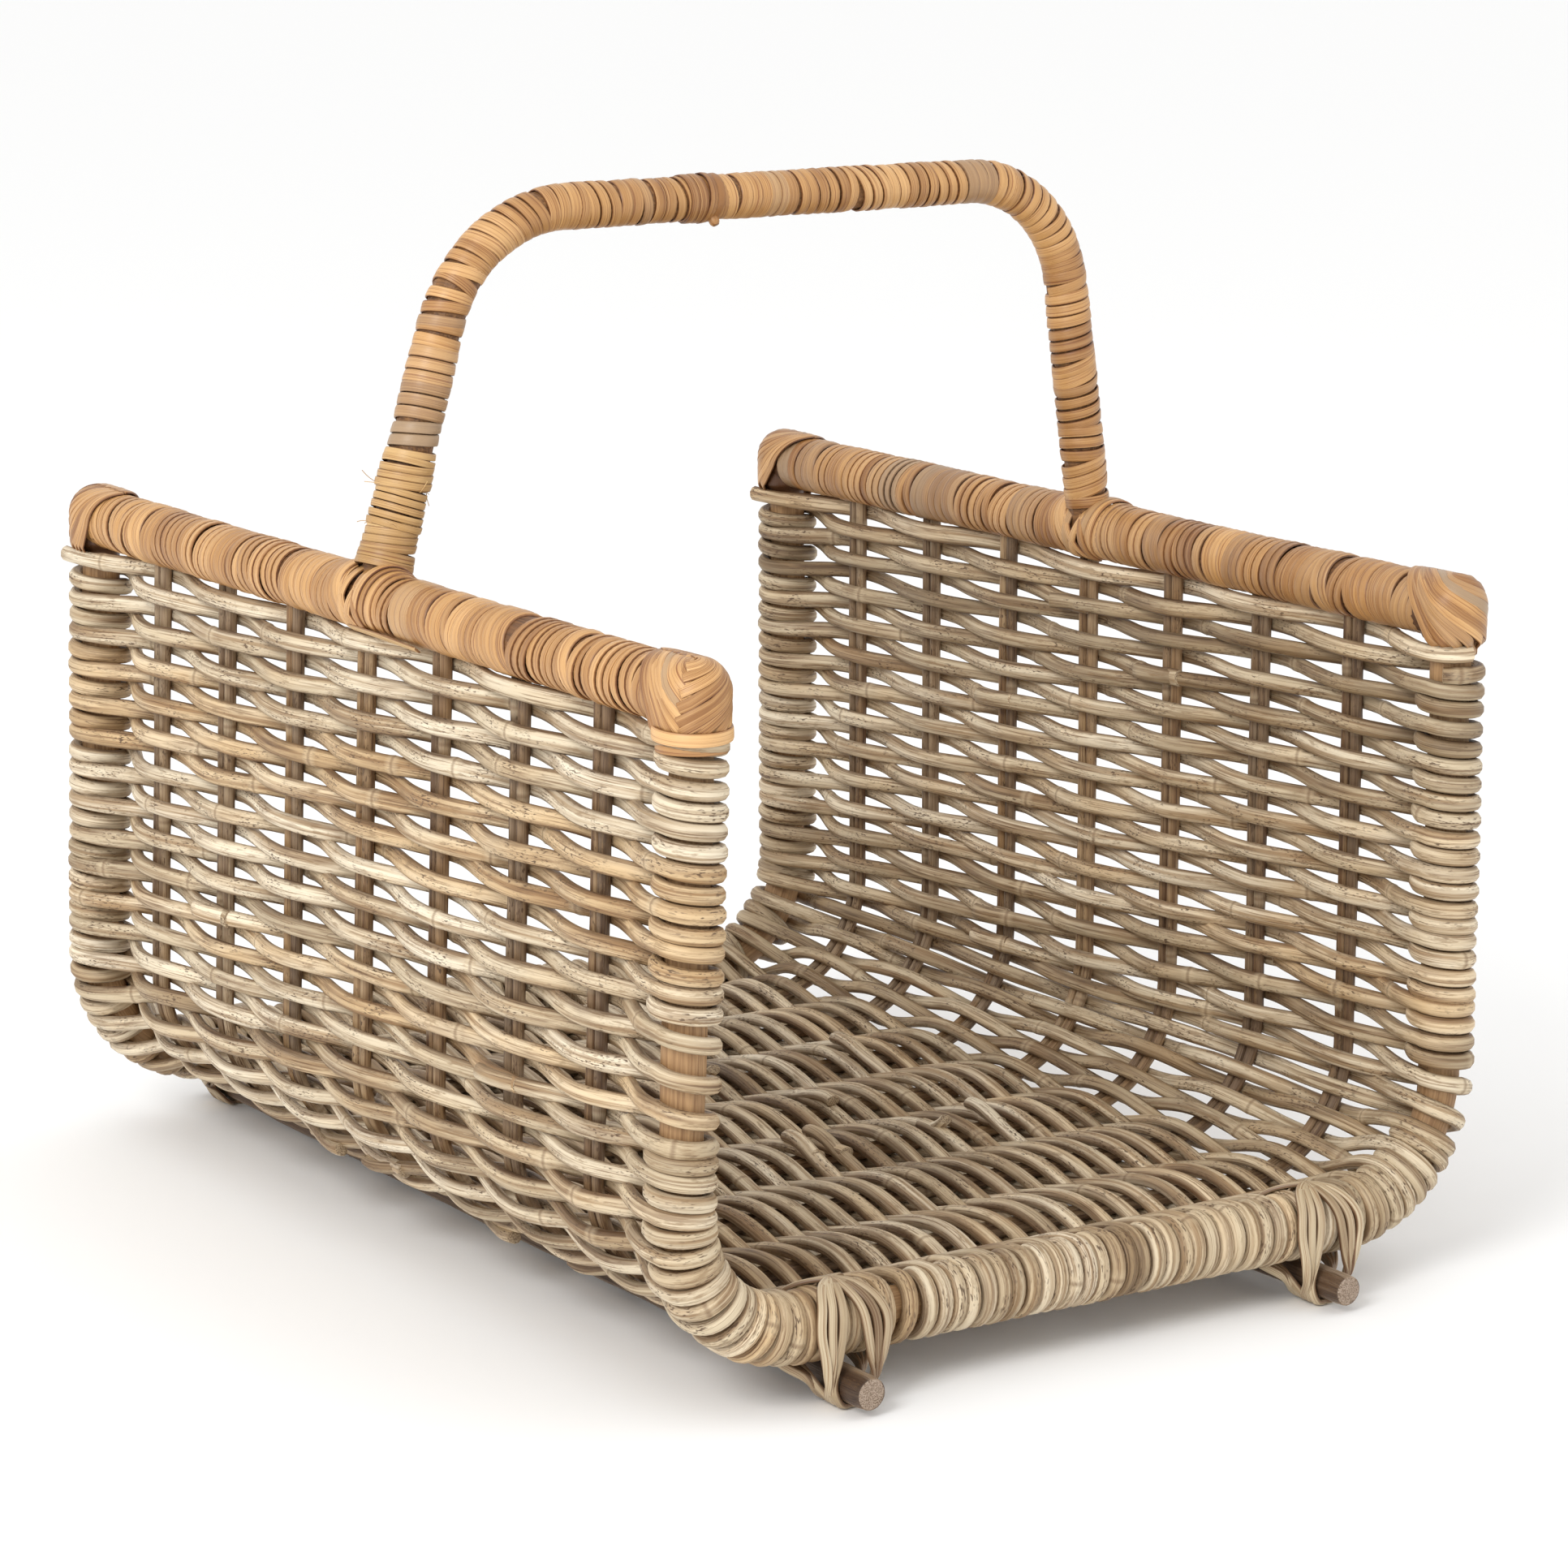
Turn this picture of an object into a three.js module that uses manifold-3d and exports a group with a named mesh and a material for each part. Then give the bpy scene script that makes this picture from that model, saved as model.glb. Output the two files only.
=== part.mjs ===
// A rattan log basket, open at the front and the rear: a woven sheet that runs down one wall, across the
// floor and up the other wall, edged by two bent frame poles, with a wrapped rail on each wall, an arched
// carrying handle and two round runners lashed under the floor.
import * as THREE from "three";
import { mergeVertices } from "three/addons/utils/BufferGeometryUtils.js";
import Module from "manifold-3d";

const wasm = await Module();
wasm.setup();

// Driving dimensions in millimetres. X runs across the basket, Y along the logs and Z up from the ground.
const GAP = 0.35; // clearance left between pieces that touch
const DEPTH = 500; // from the front frame pole's axis to the rear one's
const FLOOR_Z = 33; // axis of the frame poles where they cross the floor
const RAIL_Z = 294; // axis of the two top rails
const RAIL_X = 193; // from the middle to a top rail's axis
const WALL_FOOT_X = 198; // where a wall's line would meet the floor's
const CORNER_R = 55; // bend between wall and floor, at the middle of the weave
const ARC_STEPS = 5; // steps in one bend

const POLE_R = 8.8; // bare frame pole
const BORDER_R = 15; // woven border around a frame pole
const WEAVE_HALF = 8.8; // half the thickness of the woven sheet
const WEAVE_TOP_Z = 278.5;
const WEAVE_EDGE_Y = 238; // where the woven sheet runs into its border

const STAKE_R = 2.65;
const STAKE_PAIR_PITCH = 5.8; // between the two rods of a pair
const STAKE_SPACES = 8; // equal spaces between the frame poles, so seven pairs of stakes
const STAKE_TOP_Z = 288; // the stakes end in holes in the rails

const RAIL_R = 12; // bare rail
const RAIL_END_Y = 262.5;
const WRAP_OUTER_R = 13.5; // peel wrap on a rail
const CAP_R = 15; // wrap over the end of a rail
const CAP_INNER_Y = 232;
const CAP_END_Y = 265.5;
const CAP_POST_R = 12; // the cap's sleeve on the frame pole
const CAP_FOOT_Z = 273;

const HANDLE_R = 8.9; // bare handle pole
const HANDLE_WRAP_R = 10.4;
const HANDLE_MIDDLE_Y = -5;
const HANDLE_TWIST = 0.005; // the handle stands slightly askew, its left foot nearer the front
const LEFT_FOOT = [-192.5, 294];
const LEFT_SHOULDER = [-148, 455];
const LEFT_SHOULDER_R = 65;
const RIGHT_SHOULDER = [163.5, 458.5];
const RIGHT_SHOULDER_R = 56;
const RIGHT_FOOT = [190, 294];
const JOINT_R = 14.8; // lashing that binds a handle foot to its rail
const JOINT_HALF = 15;

const RUNNER_X = 124;
const RUNNER_R = 7;
const RUNNER_HALF = 279;
const LASH = 5; // width of a bundle of lashing
const LASH_THICKNESS = 3;
const RUNNER_Z = LASH_THICKNESS + GAP + RUNNER_R;

const NAIL_R = 1.2;
const NAIL_HEAD_R = 2.6;
const NAIL_HEAD = 1;
const NAIL_LENGTH = 50;
const PIN_HEIGHT = 36; // where a handle pin enters, up from the rail's axis
const PIN_SLANT = 0.44;
const PIN_LENGTH = 38;
const HOLE_RUNOUT = 2.3;

const FINISHES = {
  pole: { color: 0x9a7048, roughness: 0.7 },
  stake: { color: 0x6e6152, roughness: 0.8 },
  weave: { color: 0xa39580, roughness: 0.75 },
  peel: { color: 0xb98a5a, roughness: 0.55 },
  straw: { color: 0xcdb07e, roughness: 0.55 },
  runner: { color: 0x8d8171, roughness: 0.8 },
  nail: { color: 0x8a8a88, roughness: 0.45, metalness: 1 },
};

// A closed three.js geometry as a solid that can be joined and cut, facing out.
function solid(geometry) {
  geometry.deleteAttribute("normal");
  geometry.deleteAttribute("uv");
  const merged = mergeVertices(geometry, 1e-4);
  const triVerts = new Uint32Array(merged.index.array);
  const vertProperties = merged.attributes.position.array;
  const made = new wasm.Manifold(new wasm.Mesh({ numProp: 3, vertProperties, triVerts }));
  if (made.volume() > 0) return made;
  return new wasm.Manifold(new wasm.Mesh({ numProp: 3, vertProperties, triVerts: triVerts.reverse() }));
}

function geometryOf(made) {
  const { numProp, numVert, vertProperties, triVerts } = made.getMesh();
  const points = new Float32Array(numVert * 3);
  for (let i = 0; i < numVert; i++) {
    points.set(vertProperties.subarray(i * numProp, i * numProp + 3), i * 3);
  }
  const geometry = new THREE.BufferGeometry();
  geometry.setAttribute("position", new THREE.BufferAttribute(points, 3));
  geometry.setIndex(new THREE.BufferAttribute(triVerts, 1));
  geometry.computeVertexNormals();
  return geometry;
}

function cut(base, cutters) {
  return cutters.reduce((left, cutter) => left.subtract(cutter), base);
}

// The biggest body of a cut piece, without the slivers that a cut can leave.
function largest(made) {
  return made.decompose().sort((a, b) => b.volume() - a.volume())[0];
}

function join(pieces) {
  return pieces.reduce((all, piece) => all.add(piece));
}

function box(low, high) {
  const size = high.map((h, i) => h - low[i]);
  const middle = high.map((h, i) => (h + low[i]) / 2);
  return solid(new THREE.BoxGeometry(...size).translate(...middle));
}

// A round bar from one point to another.
function bar(from, to, radius, sides = 12) {
  const start = new THREE.Vector3(...from);
  const along = new THREE.Vector3(...to).sub(start);
  const turn = new THREE.Quaternion().setFromUnitVectors(
    new THREE.Vector3(0, 1, 0),
    along.clone().normalize(),
  );
  const geometry = new THREE.CylinderGeometry(radius, radius, along.length(), sides);
  geometry.applyQuaternion(turn);
  geometry.translate(...start.addScaledVector(along, 0.5).toArray());
  return solid(geometry);
}

// A rod's line: straight runs joined by round bends, with one step on each run and ARC_STEPS on each bend.
class BentLine extends THREE.Curve {
  constructor(corners, radii, y) {
    super();
    this.stations = [];
    const points = corners.map(([x, z]) => new THREE.Vector3(x, y, z));
    const run = (i) => points[i + 1].clone().sub(points[i]).normalize();
    this.add(points[0], run(0));
    for (let i = 1; i < points.length - 1; i++) {
      this.bend(points[i], run(i - 1), run(i), radii[i - 1]);
    }
    this.add(points.at(-1), run(points.length - 2));
  }

  add(point, tangent) {
    this.stations.push({ point, tangent });
  }

  bend(corner, before, after, radius) {
    const turn = before.angleTo(after);
    const inward = after.clone().addScaledVector(before, -after.dot(before)).normalize();
    const start = corner.clone().addScaledVector(before, -radius * Math.tan(turn / 2));
    for (let k = 0; k <= ARC_STEPS; k++) {
      const angle = (turn * k) / ARC_STEPS;
      const point = start
        .clone()
        .addScaledVector(before, radius * Math.sin(angle))
        .addScaledVector(inward, radius * (1 - Math.cos(angle)));
      const tangent = before
        .clone()
        .multiplyScalar(Math.cos(angle))
        .addScaledVector(inward, Math.sin(angle));
      this.add(point, tangent);
    }
  }

  get steps() {
    return this.stations.length - 1;
  }

  getPointAt(u) {
    return this.stations[Math.round(u * this.steps)].point.clone();
  }

  getTangentAt(u) {
    return this.stations[Math.round(u * this.steps)].tangent.clone();
  }
}

function bentRod(line, radius, sides) {
  const section = new THREE.Shape().absarc(0, 0, radius, 0, 2 * Math.PI);
  const options = { steps: line.steps, curveSegments: sides / 2, extrudePath: line };
  return solid(new THREE.ExtrudeGeometry(section, options));
}

// A bar of rectangular section along a line in the XZ plane. Its width lies along Y.
function bentStrip(line, halfWidth, halfHeight) {
  const corners = [
    [-1, -1],
    [1, -1],
    [1, 1],
    [-1, 1],
  ];
  const section = new THREE.Shape(
    corners.map(([x, y]) => new THREE.Vector2(x * halfWidth, y * halfHeight)),
  );
  return solid(new THREE.ExtrudeGeometry(section, { steps: line.steps, extrudePath: line }));
}

// The U that every frame pole and stake follows: down the left wall, across the floor, up the right wall.
function basketLine(y, topZ) {
  const lean = (WALL_FOOT_X - RAIL_X) / (RAIL_Z - FLOOR_Z);
  const topX = RAIL_X + (RAIL_Z - topZ) * lean;
  const corners = [
    [-topX, topZ],
    [-WALL_FOOT_X, FLOOR_Z],
    [WALL_FOOT_X, FLOOR_Z],
    [topX, topZ],
  ];
  return new BentLine(corners, [CORNER_R, CORNER_R], y);
}

function handleLine() {
  const corners = [LEFT_FOOT, LEFT_SHOULDER, RIGHT_SHOULDER, RIGHT_FOOT];
  return new BentLine(corners, [LEFT_SHOULDER_R, RIGHT_SHOULDER_R], 0);
}

// The handle is made upright on the XZ plane, then turned and set over the rails.
function placeHandle(made) {
  return made.rotate([0, 0, THREE.MathUtils.radToDeg(HANDLE_TWIST)]).translate([0, HANDLE_MIDDLE_Y, 0]);
}

function handlePoint(x, z) {
  const y = HANDLE_MIDDLE_Y + x * Math.sin(HANDLE_TWIST);
  return [x * Math.cos(HANDLE_TWIST), y, z];
}

const BOTH_SIDES = [
  { side: "left", sign: -1 },
  { side: "right", sign: 1 },
];
const BOTH_ENDS = [
  { end: "front", y: -DEPTH / 2, outward: -1 },
  { end: "rear", y: DEPTH / 2, outward: 1 },
];

function pairMiddles() {
  return Array.from({ length: STAKE_SPACES - 1 }, (_, k) => ((k + 1) / STAKE_SPACES - 0.5) * DEPTH);
}

function stakes() {
  return pairMiddles().flatMap((middle, k) =>
    BOTH_ENDS.map(({ end, outward }) => ({
      name: "stake_" + (k + 1) + "_" + end,
      made: bentRod(basketLine(middle + (outward * STAKE_PAIR_PITCH) / 2, STAKE_TOP_Z), STAKE_R, 6),
    })),
  );
}

// The slot that one pair of stakes lies in.
function stakeSlot(middle) {
  const room = STAKE_R + GAP;
  return bentStrip(basketLine(middle, STAKE_TOP_Z + GAP), STAKE_PAIR_PITCH / 2 + room, room);
}

// A corner nail runs down through the rail into the frame pole's end.
function cornerNail(sign, y, grow = 0) {
  const top = new THREE.Vector3(sign * RAIL_X, y, RAIL_Z + RAIL_R - 1.5);
  const down = new THREE.Vector3(sign * (WALL_FOOT_X - RAIL_X), 0, FLOOR_Z - RAIL_Z).normalize();
  const under = top.clone().addScaledVector(down, NAIL_HEAD + grow);
  const over = top.clone().addScaledVector(down, grow ? -HOLE_RUNOUT : 0);
  const head = bar(over.toArray(), under.toArray(), NAIL_HEAD_R + grow, 8);
  return head.add(shank(top, down, NAIL_LENGTH, grow));
}

// A headless pin slants down through a handle's foot into the rail under it.
function handlePin(foot, shoulder, grow = 0) {
  const low = new THREE.Vector3(...handlePoint(...foot));
  const up = new THREE.Vector3(...handlePoint(...shoulder)).sub(low).normalize();
  const head = low.addScaledVector(up, PIN_HEIGHT).add(new THREE.Vector3(0, 1.2 * NAIL_R - HANDLE_R, 0));
  const direction = up.multiplyScalar(-Math.cos(PIN_SLANT)).add(new THREE.Vector3(0, Math.sin(PIN_SLANT), 0));
  return shank(head, direction, PIN_LENGTH, grow);
}

// With grow, a nail or pin becomes its hole, which runs out past its outer end.
function shank(head, direction, length, grow) {
  const runOut = grow ? HOLE_RUNOUT : 0;
  const outer = head.clone().addScaledVector(direction, -runOut);
  const tip = head.clone().addScaledVector(direction, length + grow);
  return bar(outer.toArray(), tip.toArray(), NAIL_R + grow, 8);
}

function railBar(sign, radius, fromY, toY, sides = 16) {
  return bar([sign * RAIL_X, fromY, RAIL_Z], [sign * RAIL_X, toY, RAIL_Z], radius, sides);
}

const stakeSlots = pairMiddles().map(stakeSlot);
const handleFeet = [
  [LEFT_FOOT, LEFT_SHOULDER],
  [RIGHT_FOOT, RIGHT_SHOULDER],
];

function framePole(y) {
  const railHoles = BOTH_SIDES.map(({ sign }) => railBar(sign, RAIL_R + GAP, y - 20, y + 20));
  const nailHoles = BOTH_SIDES.map(({ sign }) => cornerNail(sign, y, GAP));
  return largest(cut(bentRod(basketLine(y, RAIL_Z), POLE_R, 12), [...railHoles, ...nailHoles]));
}

function topRail(sign, handleFoot) {
  const nailHoles = BOTH_ENDS.map(({ y }) => cornerNail(sign, y, GAP));
  nailHoles.push(handlePin(...handleFoot, GAP));
  return largest(cut(railBar(sign, RAIL_R, -RAIL_END_Y, RAIL_END_Y), [...nailHoles, ...stakeSlots]));
}

// The peel wrap on one stretch of a rail, between two stated places.
function railWrap(sign, fromY, toY) {
  const core = railBar(sign, RAIL_R + GAP, fromY - 1, toY + 1);
  return cut(railBar(sign, WRAP_OUTER_R, fromY, toY), [core, ...stakeSlots]);
}

// The wrap over a rail's end, with a sleeve that reaches down the frame pole.
function endCap(sign, y, outward) {
  const inner = outward * CAP_INNER_Y;
  const outer = outward * CAP_END_Y;
  const lean = (WALL_FOOT_X - RAIL_X) / (RAIL_Z - FLOOR_Z);
  const foot = [sign * (RAIL_X + (RAIL_Z - CAP_FOOT_Z) * lean), y, CAP_FOOT_Z];
  const sleeve = bar([sign * RAIL_X, y, RAIL_Z], foot, CAP_POST_R);
  const whole = railBar(sign, CAP_R, inner, outer).add(sleeve);
  const railHole = railBar(sign, RAIL_R + GAP, outward * (CAP_INNER_Y - 1), outward * (RAIL_END_Y + GAP));
  const poleHole = bentRod(basketLine(y, RAIL_Z), POLE_R + GAP, 12);
  return cut(whole, [railHole, poleHole]);
}

function jointMiddle(foot) {
  return handlePoint(...foot)[1];
}

function handlePole() {
  const railHoles = BOTH_SIDES.map(({ sign }) => railBar(sign, RAIL_R + GAP, -60, 60));
  const nailHoles = handleFeet.map((ends) => handlePin(...ends, GAP));
  return largest(cut(placeHandle(bentRod(handleLine(), HANDLE_R, 12)), [...railHoles, ...nailHoles]));
}

// The collar that binds a handle foot down: it goes round the rail on both sides of the foot.
function jointLashing(sign, foot) {
  const middle = jointMiddle(foot);
  const collar = railBar(sign, JOINT_R, middle - JOINT_HALF, middle + JOINT_HALF);
  const core = railBar(sign, RAIL_R + GAP, middle - 2 * JOINT_HALF, middle + 2 * JOINT_HALF);
  const handleHole = placeHandle(bentRod(handleLine(), HANDLE_R + GAP, 12));
  return largest(cut(collar, [core, handleHole, ...stakeSlots]));
}

// The handle's peel wrap, in the lengths that one strip covers.
function handleWraps() {
  const top = 500;
  const side = 220;
  const stretches = [
    ["handle_left_foot_wrap", "straw", [-side, RAIL_Z], [0, 358]],
    ["handle_left_leg_wrap", "peel", [-side, 358], [0, 408]],
    ["handle_left_shoulder_wrap", "peel", [-side, 408], [-92, top]],
    ["handle_grip_wrap", "peel", [-92, 408], [108, top]],
    ["handle_right_shoulder_wrap", "peel", [108, 408], [side, top]],
    ["handle_right_leg_wrap", "peel", [0, RAIL_Z], [side, 408]],
  ];
  const wrap = bentRod(handleLine(), HANDLE_WRAP_R, 12);
  const tube = placeHandle(wrap.subtract(bentRod(handleLine(), HANDLE_R + GAP, 12)));
  const collars = BOTH_SIDES.map(({ sign }) => railBar(sign, JOINT_R + GAP, -60, 60));
  const open = cut(tube, collars);
  return stretches.map(([name, finish, [lowX, lowZ], [highX, highZ]]) => {
    const half = GAP / 2;
    const room = box([lowX + half, -60, lowZ + half], [highX - half, 60, highZ - half]);
    return { name, finish, made: largest(open.intersect(room)) };
  });
}

// A box given by its size and the signs of the corner that it lies towards, grown all round.
function cornerBox(middle, [nearX, farX], [nearY, farY], [lowZ, highZ], grow) {
  const [x, y] = middle;
  const low = [x + Math.min(nearX, farX) - grow, y + Math.min(nearY, farY) - grow, lowZ - grow];
  const high = [x + Math.max(nearX, farX) + grow, y + Math.max(nearY, farY) + grow, highZ + grow];
  return box(low, high);
}

// Each lashing passes under the runner in front of and behind the border, and over the border on both
// sides of the runner. With grow it is the room that the weave leaves for it.
function runnerLashing(sign, y, grow = 0) {
  const middle = [sign * RUNNER_X, y];
  const top = FLOOR_Z + BORDER_R + GAP + LASH_THICKNESS;
  const nearX = RUNNER_R + GAP;
  const nearY = BORDER_R + GAP;
  const pieces = [];
  for (const side of [-1, 1]) {
    const acrossX = [side * nearX, side * (nearX + LASH)];
    const acrossY = [side * nearY, side * (nearY + LASH)];
    const wholeX = [-nearX - LASH, nearX + LASH];
    const wholeY = [-nearY - LASH, nearY + LASH];
    pieces.push(cornerBox(middle, acrossX, wholeY, [top - LASH_THICKNESS, top], grow));
    pieces.push(cornerBox(middle, wholeX, acrossY, [0, LASH_THICKNESS], grow));
    pieces.push(cornerBox(middle, acrossX, [-nearY - LASH, -nearY], [0, top], grow));
    pieces.push(cornerBox(middle, acrossX, [nearY, nearY + LASH], [0, top], grow));
  }
  return join(pieces);
}

// The woven sheet without its border: the basket's U seen from the front, with two faces.
function wovenSheet() {
  const { stations } = basketLine(0, WEAVE_TOP_Z);
  const face = (offset) =>
    stations.map(
      ({ point, tangent }) =>
        new THREE.Vector2(point.x - tangent.z * offset, point.z + tangent.x * offset),
    );
  const outline = new THREE.Shape([...face(WEAVE_HALF), ...face(-WEAVE_HALF).reverse()]);
  const geometry = new THREE.ExtrudeGeometry(outline, { depth: 2 * WEAVE_EDGE_Y, bevelEnabled: false });
  geometry.translate(0, 0, -WEAVE_EDGE_Y);
  geometry.rotateX(Math.PI / 2);
  return solid(geometry);
}

// The whole weave with its border, and with room for the poles, stakes and lashings that run through it.
function weave() {
  const borders = BOTH_ENDS.map(({ y }) => bentRod(basketLine(y, CAP_FOOT_Z - GAP), BORDER_R, 14));
  const holes = BOTH_ENDS.map(({ y }) => bentRod(basketLine(y, RAIL_Z), POLE_R + GAP, 12));
  for (const { sign } of BOTH_SIDES) {
    for (const { y } of BOTH_ENDS) holes.push(runnerLashing(sign, y, GAP));
  }
  return cut(join([wovenSheet(), ...borders]), [...holes, ...stakeSlots]);
}

// The weave is worked in one piece, and is told apart here as its walls, its bends and its floor.
function weaveRegions() {
  const half = GAP / 2;
  const wallZ = FLOOR_Z + CORNER_R;
  const floorX = WALL_FOOT_X - CORNER_R - 1;
  const far = 300;
  const whole = weave();
  const room = (low, high) => whole.intersect(box(low, high));
  return [
    ["left_wall_weave", room([-far, -far, wallZ + half], [0, far, far])],
    ["right_wall_weave", room([0, -far, wallZ + half], [far, far, far])],
    ["left_corner_weave", room([-far, -far, 0], [-floorX - half, far, wallZ - half])],
    ["right_corner_weave", room([floorX + half, -far, 0], [far, far, wallZ - half])],
    ["floor_weave", room([-floorX + half, -far, 0], [floorX - half, far, wallZ])],
  ];
}

const basket = new THREE.Group();

function add(name, made, finish) {
  const mesh = new THREE.Mesh(geometryOf(made), new THREE.MeshStandardMaterial(FINISHES[finish]));
  mesh.name = name;
  basket.add(mesh);
}

function addRail({ side, sign }, handleFoot) {
  const middle = jointMiddle(handleFoot[0]);
  add(side + "_top_rail", topRail(sign, handleFoot), "pole");
  const frontWrap = railWrap(sign, GAP - CAP_INNER_Y, middle - JOINT_HALF - GAP);
  const rearWrap = railWrap(sign, middle + JOINT_HALF + GAP, CAP_INNER_Y - GAP);
  add(side + "_rail_front_wrap", frontWrap, "peel");
  add(side + "_rail_rear_wrap", rearWrap, "peel");
  add(side + "_handle_joint_lashing", jointLashing(sign, handleFoot[0]), "peel");
  add(side + "_handle_pin", handlePin(...handleFoot), "nail");
}

function addCorner({ side, sign }, { end, y, outward }) {
  add(end + "_" + side + "_rail_cap", endCap(sign, y, outward), "peel");
  add(end + "_" + side + "_corner_nail", cornerNail(sign, y), "nail");
  add(end + "_" + side + "_runner_lashing", runnerLashing(sign, y), "peel");
}

function addRunner({ side, sign }) {
  const x = sign * RUNNER_X;
  add(side + "_runner", bar([x, -RUNNER_HALF, RUNNER_Z], [x, RUNNER_HALF, RUNNER_Z], RUNNER_R, 20), "runner");
}

for (const end of BOTH_ENDS) add(end.end + "_frame_pole", framePole(end.y), "pole");
for (const { name, made } of stakes()) add(name, made, "stake");
for (const [name, made] of weaveRegions()) add(name, made, "weave");
BOTH_SIDES.forEach((side, i) => {
  addRail(side, handleFeet[i]);
  addRunner(side);
  for (const end of BOTH_ENDS) addCorner(side, end);
});
add("handle_pole", handlePole(), "pole");
for (const { name, finish, made } of handleWraps()) add(name, made, finish);

export default basket;
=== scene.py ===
"""A wicker log basket: oval cane woven over paired stakes, with peel-wound rails and handle."""

import math

import bpy
import numpy as np
from mathutils import Matrix, Vector


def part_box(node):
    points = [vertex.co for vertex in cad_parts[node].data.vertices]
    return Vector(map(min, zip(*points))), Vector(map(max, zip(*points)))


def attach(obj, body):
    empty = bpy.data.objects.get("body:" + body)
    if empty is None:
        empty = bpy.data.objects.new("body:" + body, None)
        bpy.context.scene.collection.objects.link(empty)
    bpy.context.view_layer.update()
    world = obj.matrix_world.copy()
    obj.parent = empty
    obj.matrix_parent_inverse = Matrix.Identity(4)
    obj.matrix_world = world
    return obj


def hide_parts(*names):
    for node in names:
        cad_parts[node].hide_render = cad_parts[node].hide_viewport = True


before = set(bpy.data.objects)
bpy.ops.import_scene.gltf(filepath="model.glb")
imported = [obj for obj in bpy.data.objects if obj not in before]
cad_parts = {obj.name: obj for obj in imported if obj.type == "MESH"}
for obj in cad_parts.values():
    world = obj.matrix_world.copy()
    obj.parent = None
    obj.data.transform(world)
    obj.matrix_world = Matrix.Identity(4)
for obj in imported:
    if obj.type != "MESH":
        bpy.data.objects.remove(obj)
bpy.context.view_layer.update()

MM = 0.001
TAU = 2 * math.pi
rng = np.random.default_rng(11)


def middle(node):
    low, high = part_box(node)
    return (low + high) / 2


def half_size(node):
    low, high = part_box(node)
    return (high - low) / 2


# Sizes read from the frame's boxes.
RAIL_X = middle("right_top_rail").x
RAIL_Z = middle("right_top_rail").z
RAIL_R = half_size("right_top_rail").z
RAIL_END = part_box("right_top_rail")[1].y
POLE_R = half_size("front_frame_pole").y
POLE_Y = middle("rear_frame_pole").y
FLOOR_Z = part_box("front_frame_pole")[0].z + POLE_R
PAIRS = 7
UPRIGHTS = np.array(
    [-POLE_Y]
    + [(middle(f"stake_{k}_front").y + middle(f"stake_{k}_rear").y) / 2 for k in range(1, PAIRS + 1)]
    + [POLE_Y]
)
LAST = len(UPRIGHTS) - 1

# Sizes the boxes don't give, the same as in the CAD model.
WALL_FOOT_X = 198 * MM
CORNER_R = 55 * MM
STAKE_R = 2.65 * MM
HANDLE_R = 8.9 * MM
HANDLE_TWIST = 0.005  # radians the handle is turned about Z
HANDLE_CORNERS = np.array([(-192.5, 294), (-148, 455), (163.5, 458.5), (190, 294)]) * MM  # X and Z
HANDLE_BENDS = (65 * MM, 56 * MM)

# The weaving cane, pressed oval: half its width along the wall and half its depth through it.
CANE_WIDE = 4.15 * MM
CANE_DEEP = 2.9 * MM
POLE_CANE_WIDE = 3.7 * MM  # rounder where it turns round a pole
POLE_CANE_DEEP = 3.2 * MM
CANE_SIDES = 10
CANE_STEP = 3.4 * MM
TURN_STEP = 2.9 * MM
EXTRA_WRAP = 0.88  # how often a row takes a whole extra turn round the pole
SPLICED = 0.4  # how often a row holds the end of one cane and the start of the next
TOP_ROW_Z = 276 * MM
TOP_PITCH = 8.4 * MM
LOW_PITCH = 7.25 * MM
PITCH_FALL = 170 * MM  # length down the wall over which the rows close up
STAKE_OUT = STAKE_R + CANE_DEEP
POLE_OUT = POLE_R + CANE_DEEP


# ---------------------------------------------------------------- lines

def unit(v):
    return v / np.maximum(np.linalg.norm(v, axis=-1, keepdims=True), 1e-12)


def joined(*parts):
    """Coordinates put together as points. A single number is the same at every point."""
    return np.stack(np.broadcast_arrays(*parts), -1)


def ease(t):
    t = np.clip(t, 0, 1)
    return t * t * (3 - 2 * t)


def wander(x, size, wavelength):
    """A smooth random wave along x, made of three sines."""
    total = np.zeros_like(x)
    for part in (1.0, 1.9, 3.7):
        total += np.sin(TAU * x * part / wavelength + rng.uniform(0, TAU)) / part
    return size * total / 1.8


def lengths_along(points):
    steps = np.linalg.norm(np.diff(points, axis=0), axis=1)
    return np.concatenate([[0], np.cumsum(steps)])


def carried_sides(points):
    """A side vector that is carried along the line without twisting."""
    tangents = unit(np.gradient(points, axis=0))
    sides = np.zeros_like(tangents)
    side = np.cross(tangents[0], [0.31, 0.17, 0.93])
    for i, tangent in enumerate(tangents):
        side = side - tangent * np.dot(side, tangent)
        side = side / np.linalg.norm(side)
        sides[i] = side
    return sides


def smooth_line(knots, count, closed=False):
    """A Catmull-Rom curve through the knots."""
    knots = np.asarray(knots, float)
    if closed:
        padded = np.concatenate([knots[-1:], knots, knots[:2]])
    else:
        padded = np.concatenate([2 * knots[:1] - knots[1:2], knots, 2 * knots[-1:] - knots[-2:-1]])
    t = np.linspace(0, len(padded) - 3, count)
    i = np.minimum(t.astype(int), len(padded) - 4)
    f = (t - i)[:, None]
    a, b, c, d = (padded[i + n] for n in range(4))
    return 0.5 * (2 * b + (c - a) * f + (2 * a - 5 * b + 4 * c - d) * f**2 + (3 * b - a - 3 * c + d) * f**3)


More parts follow.
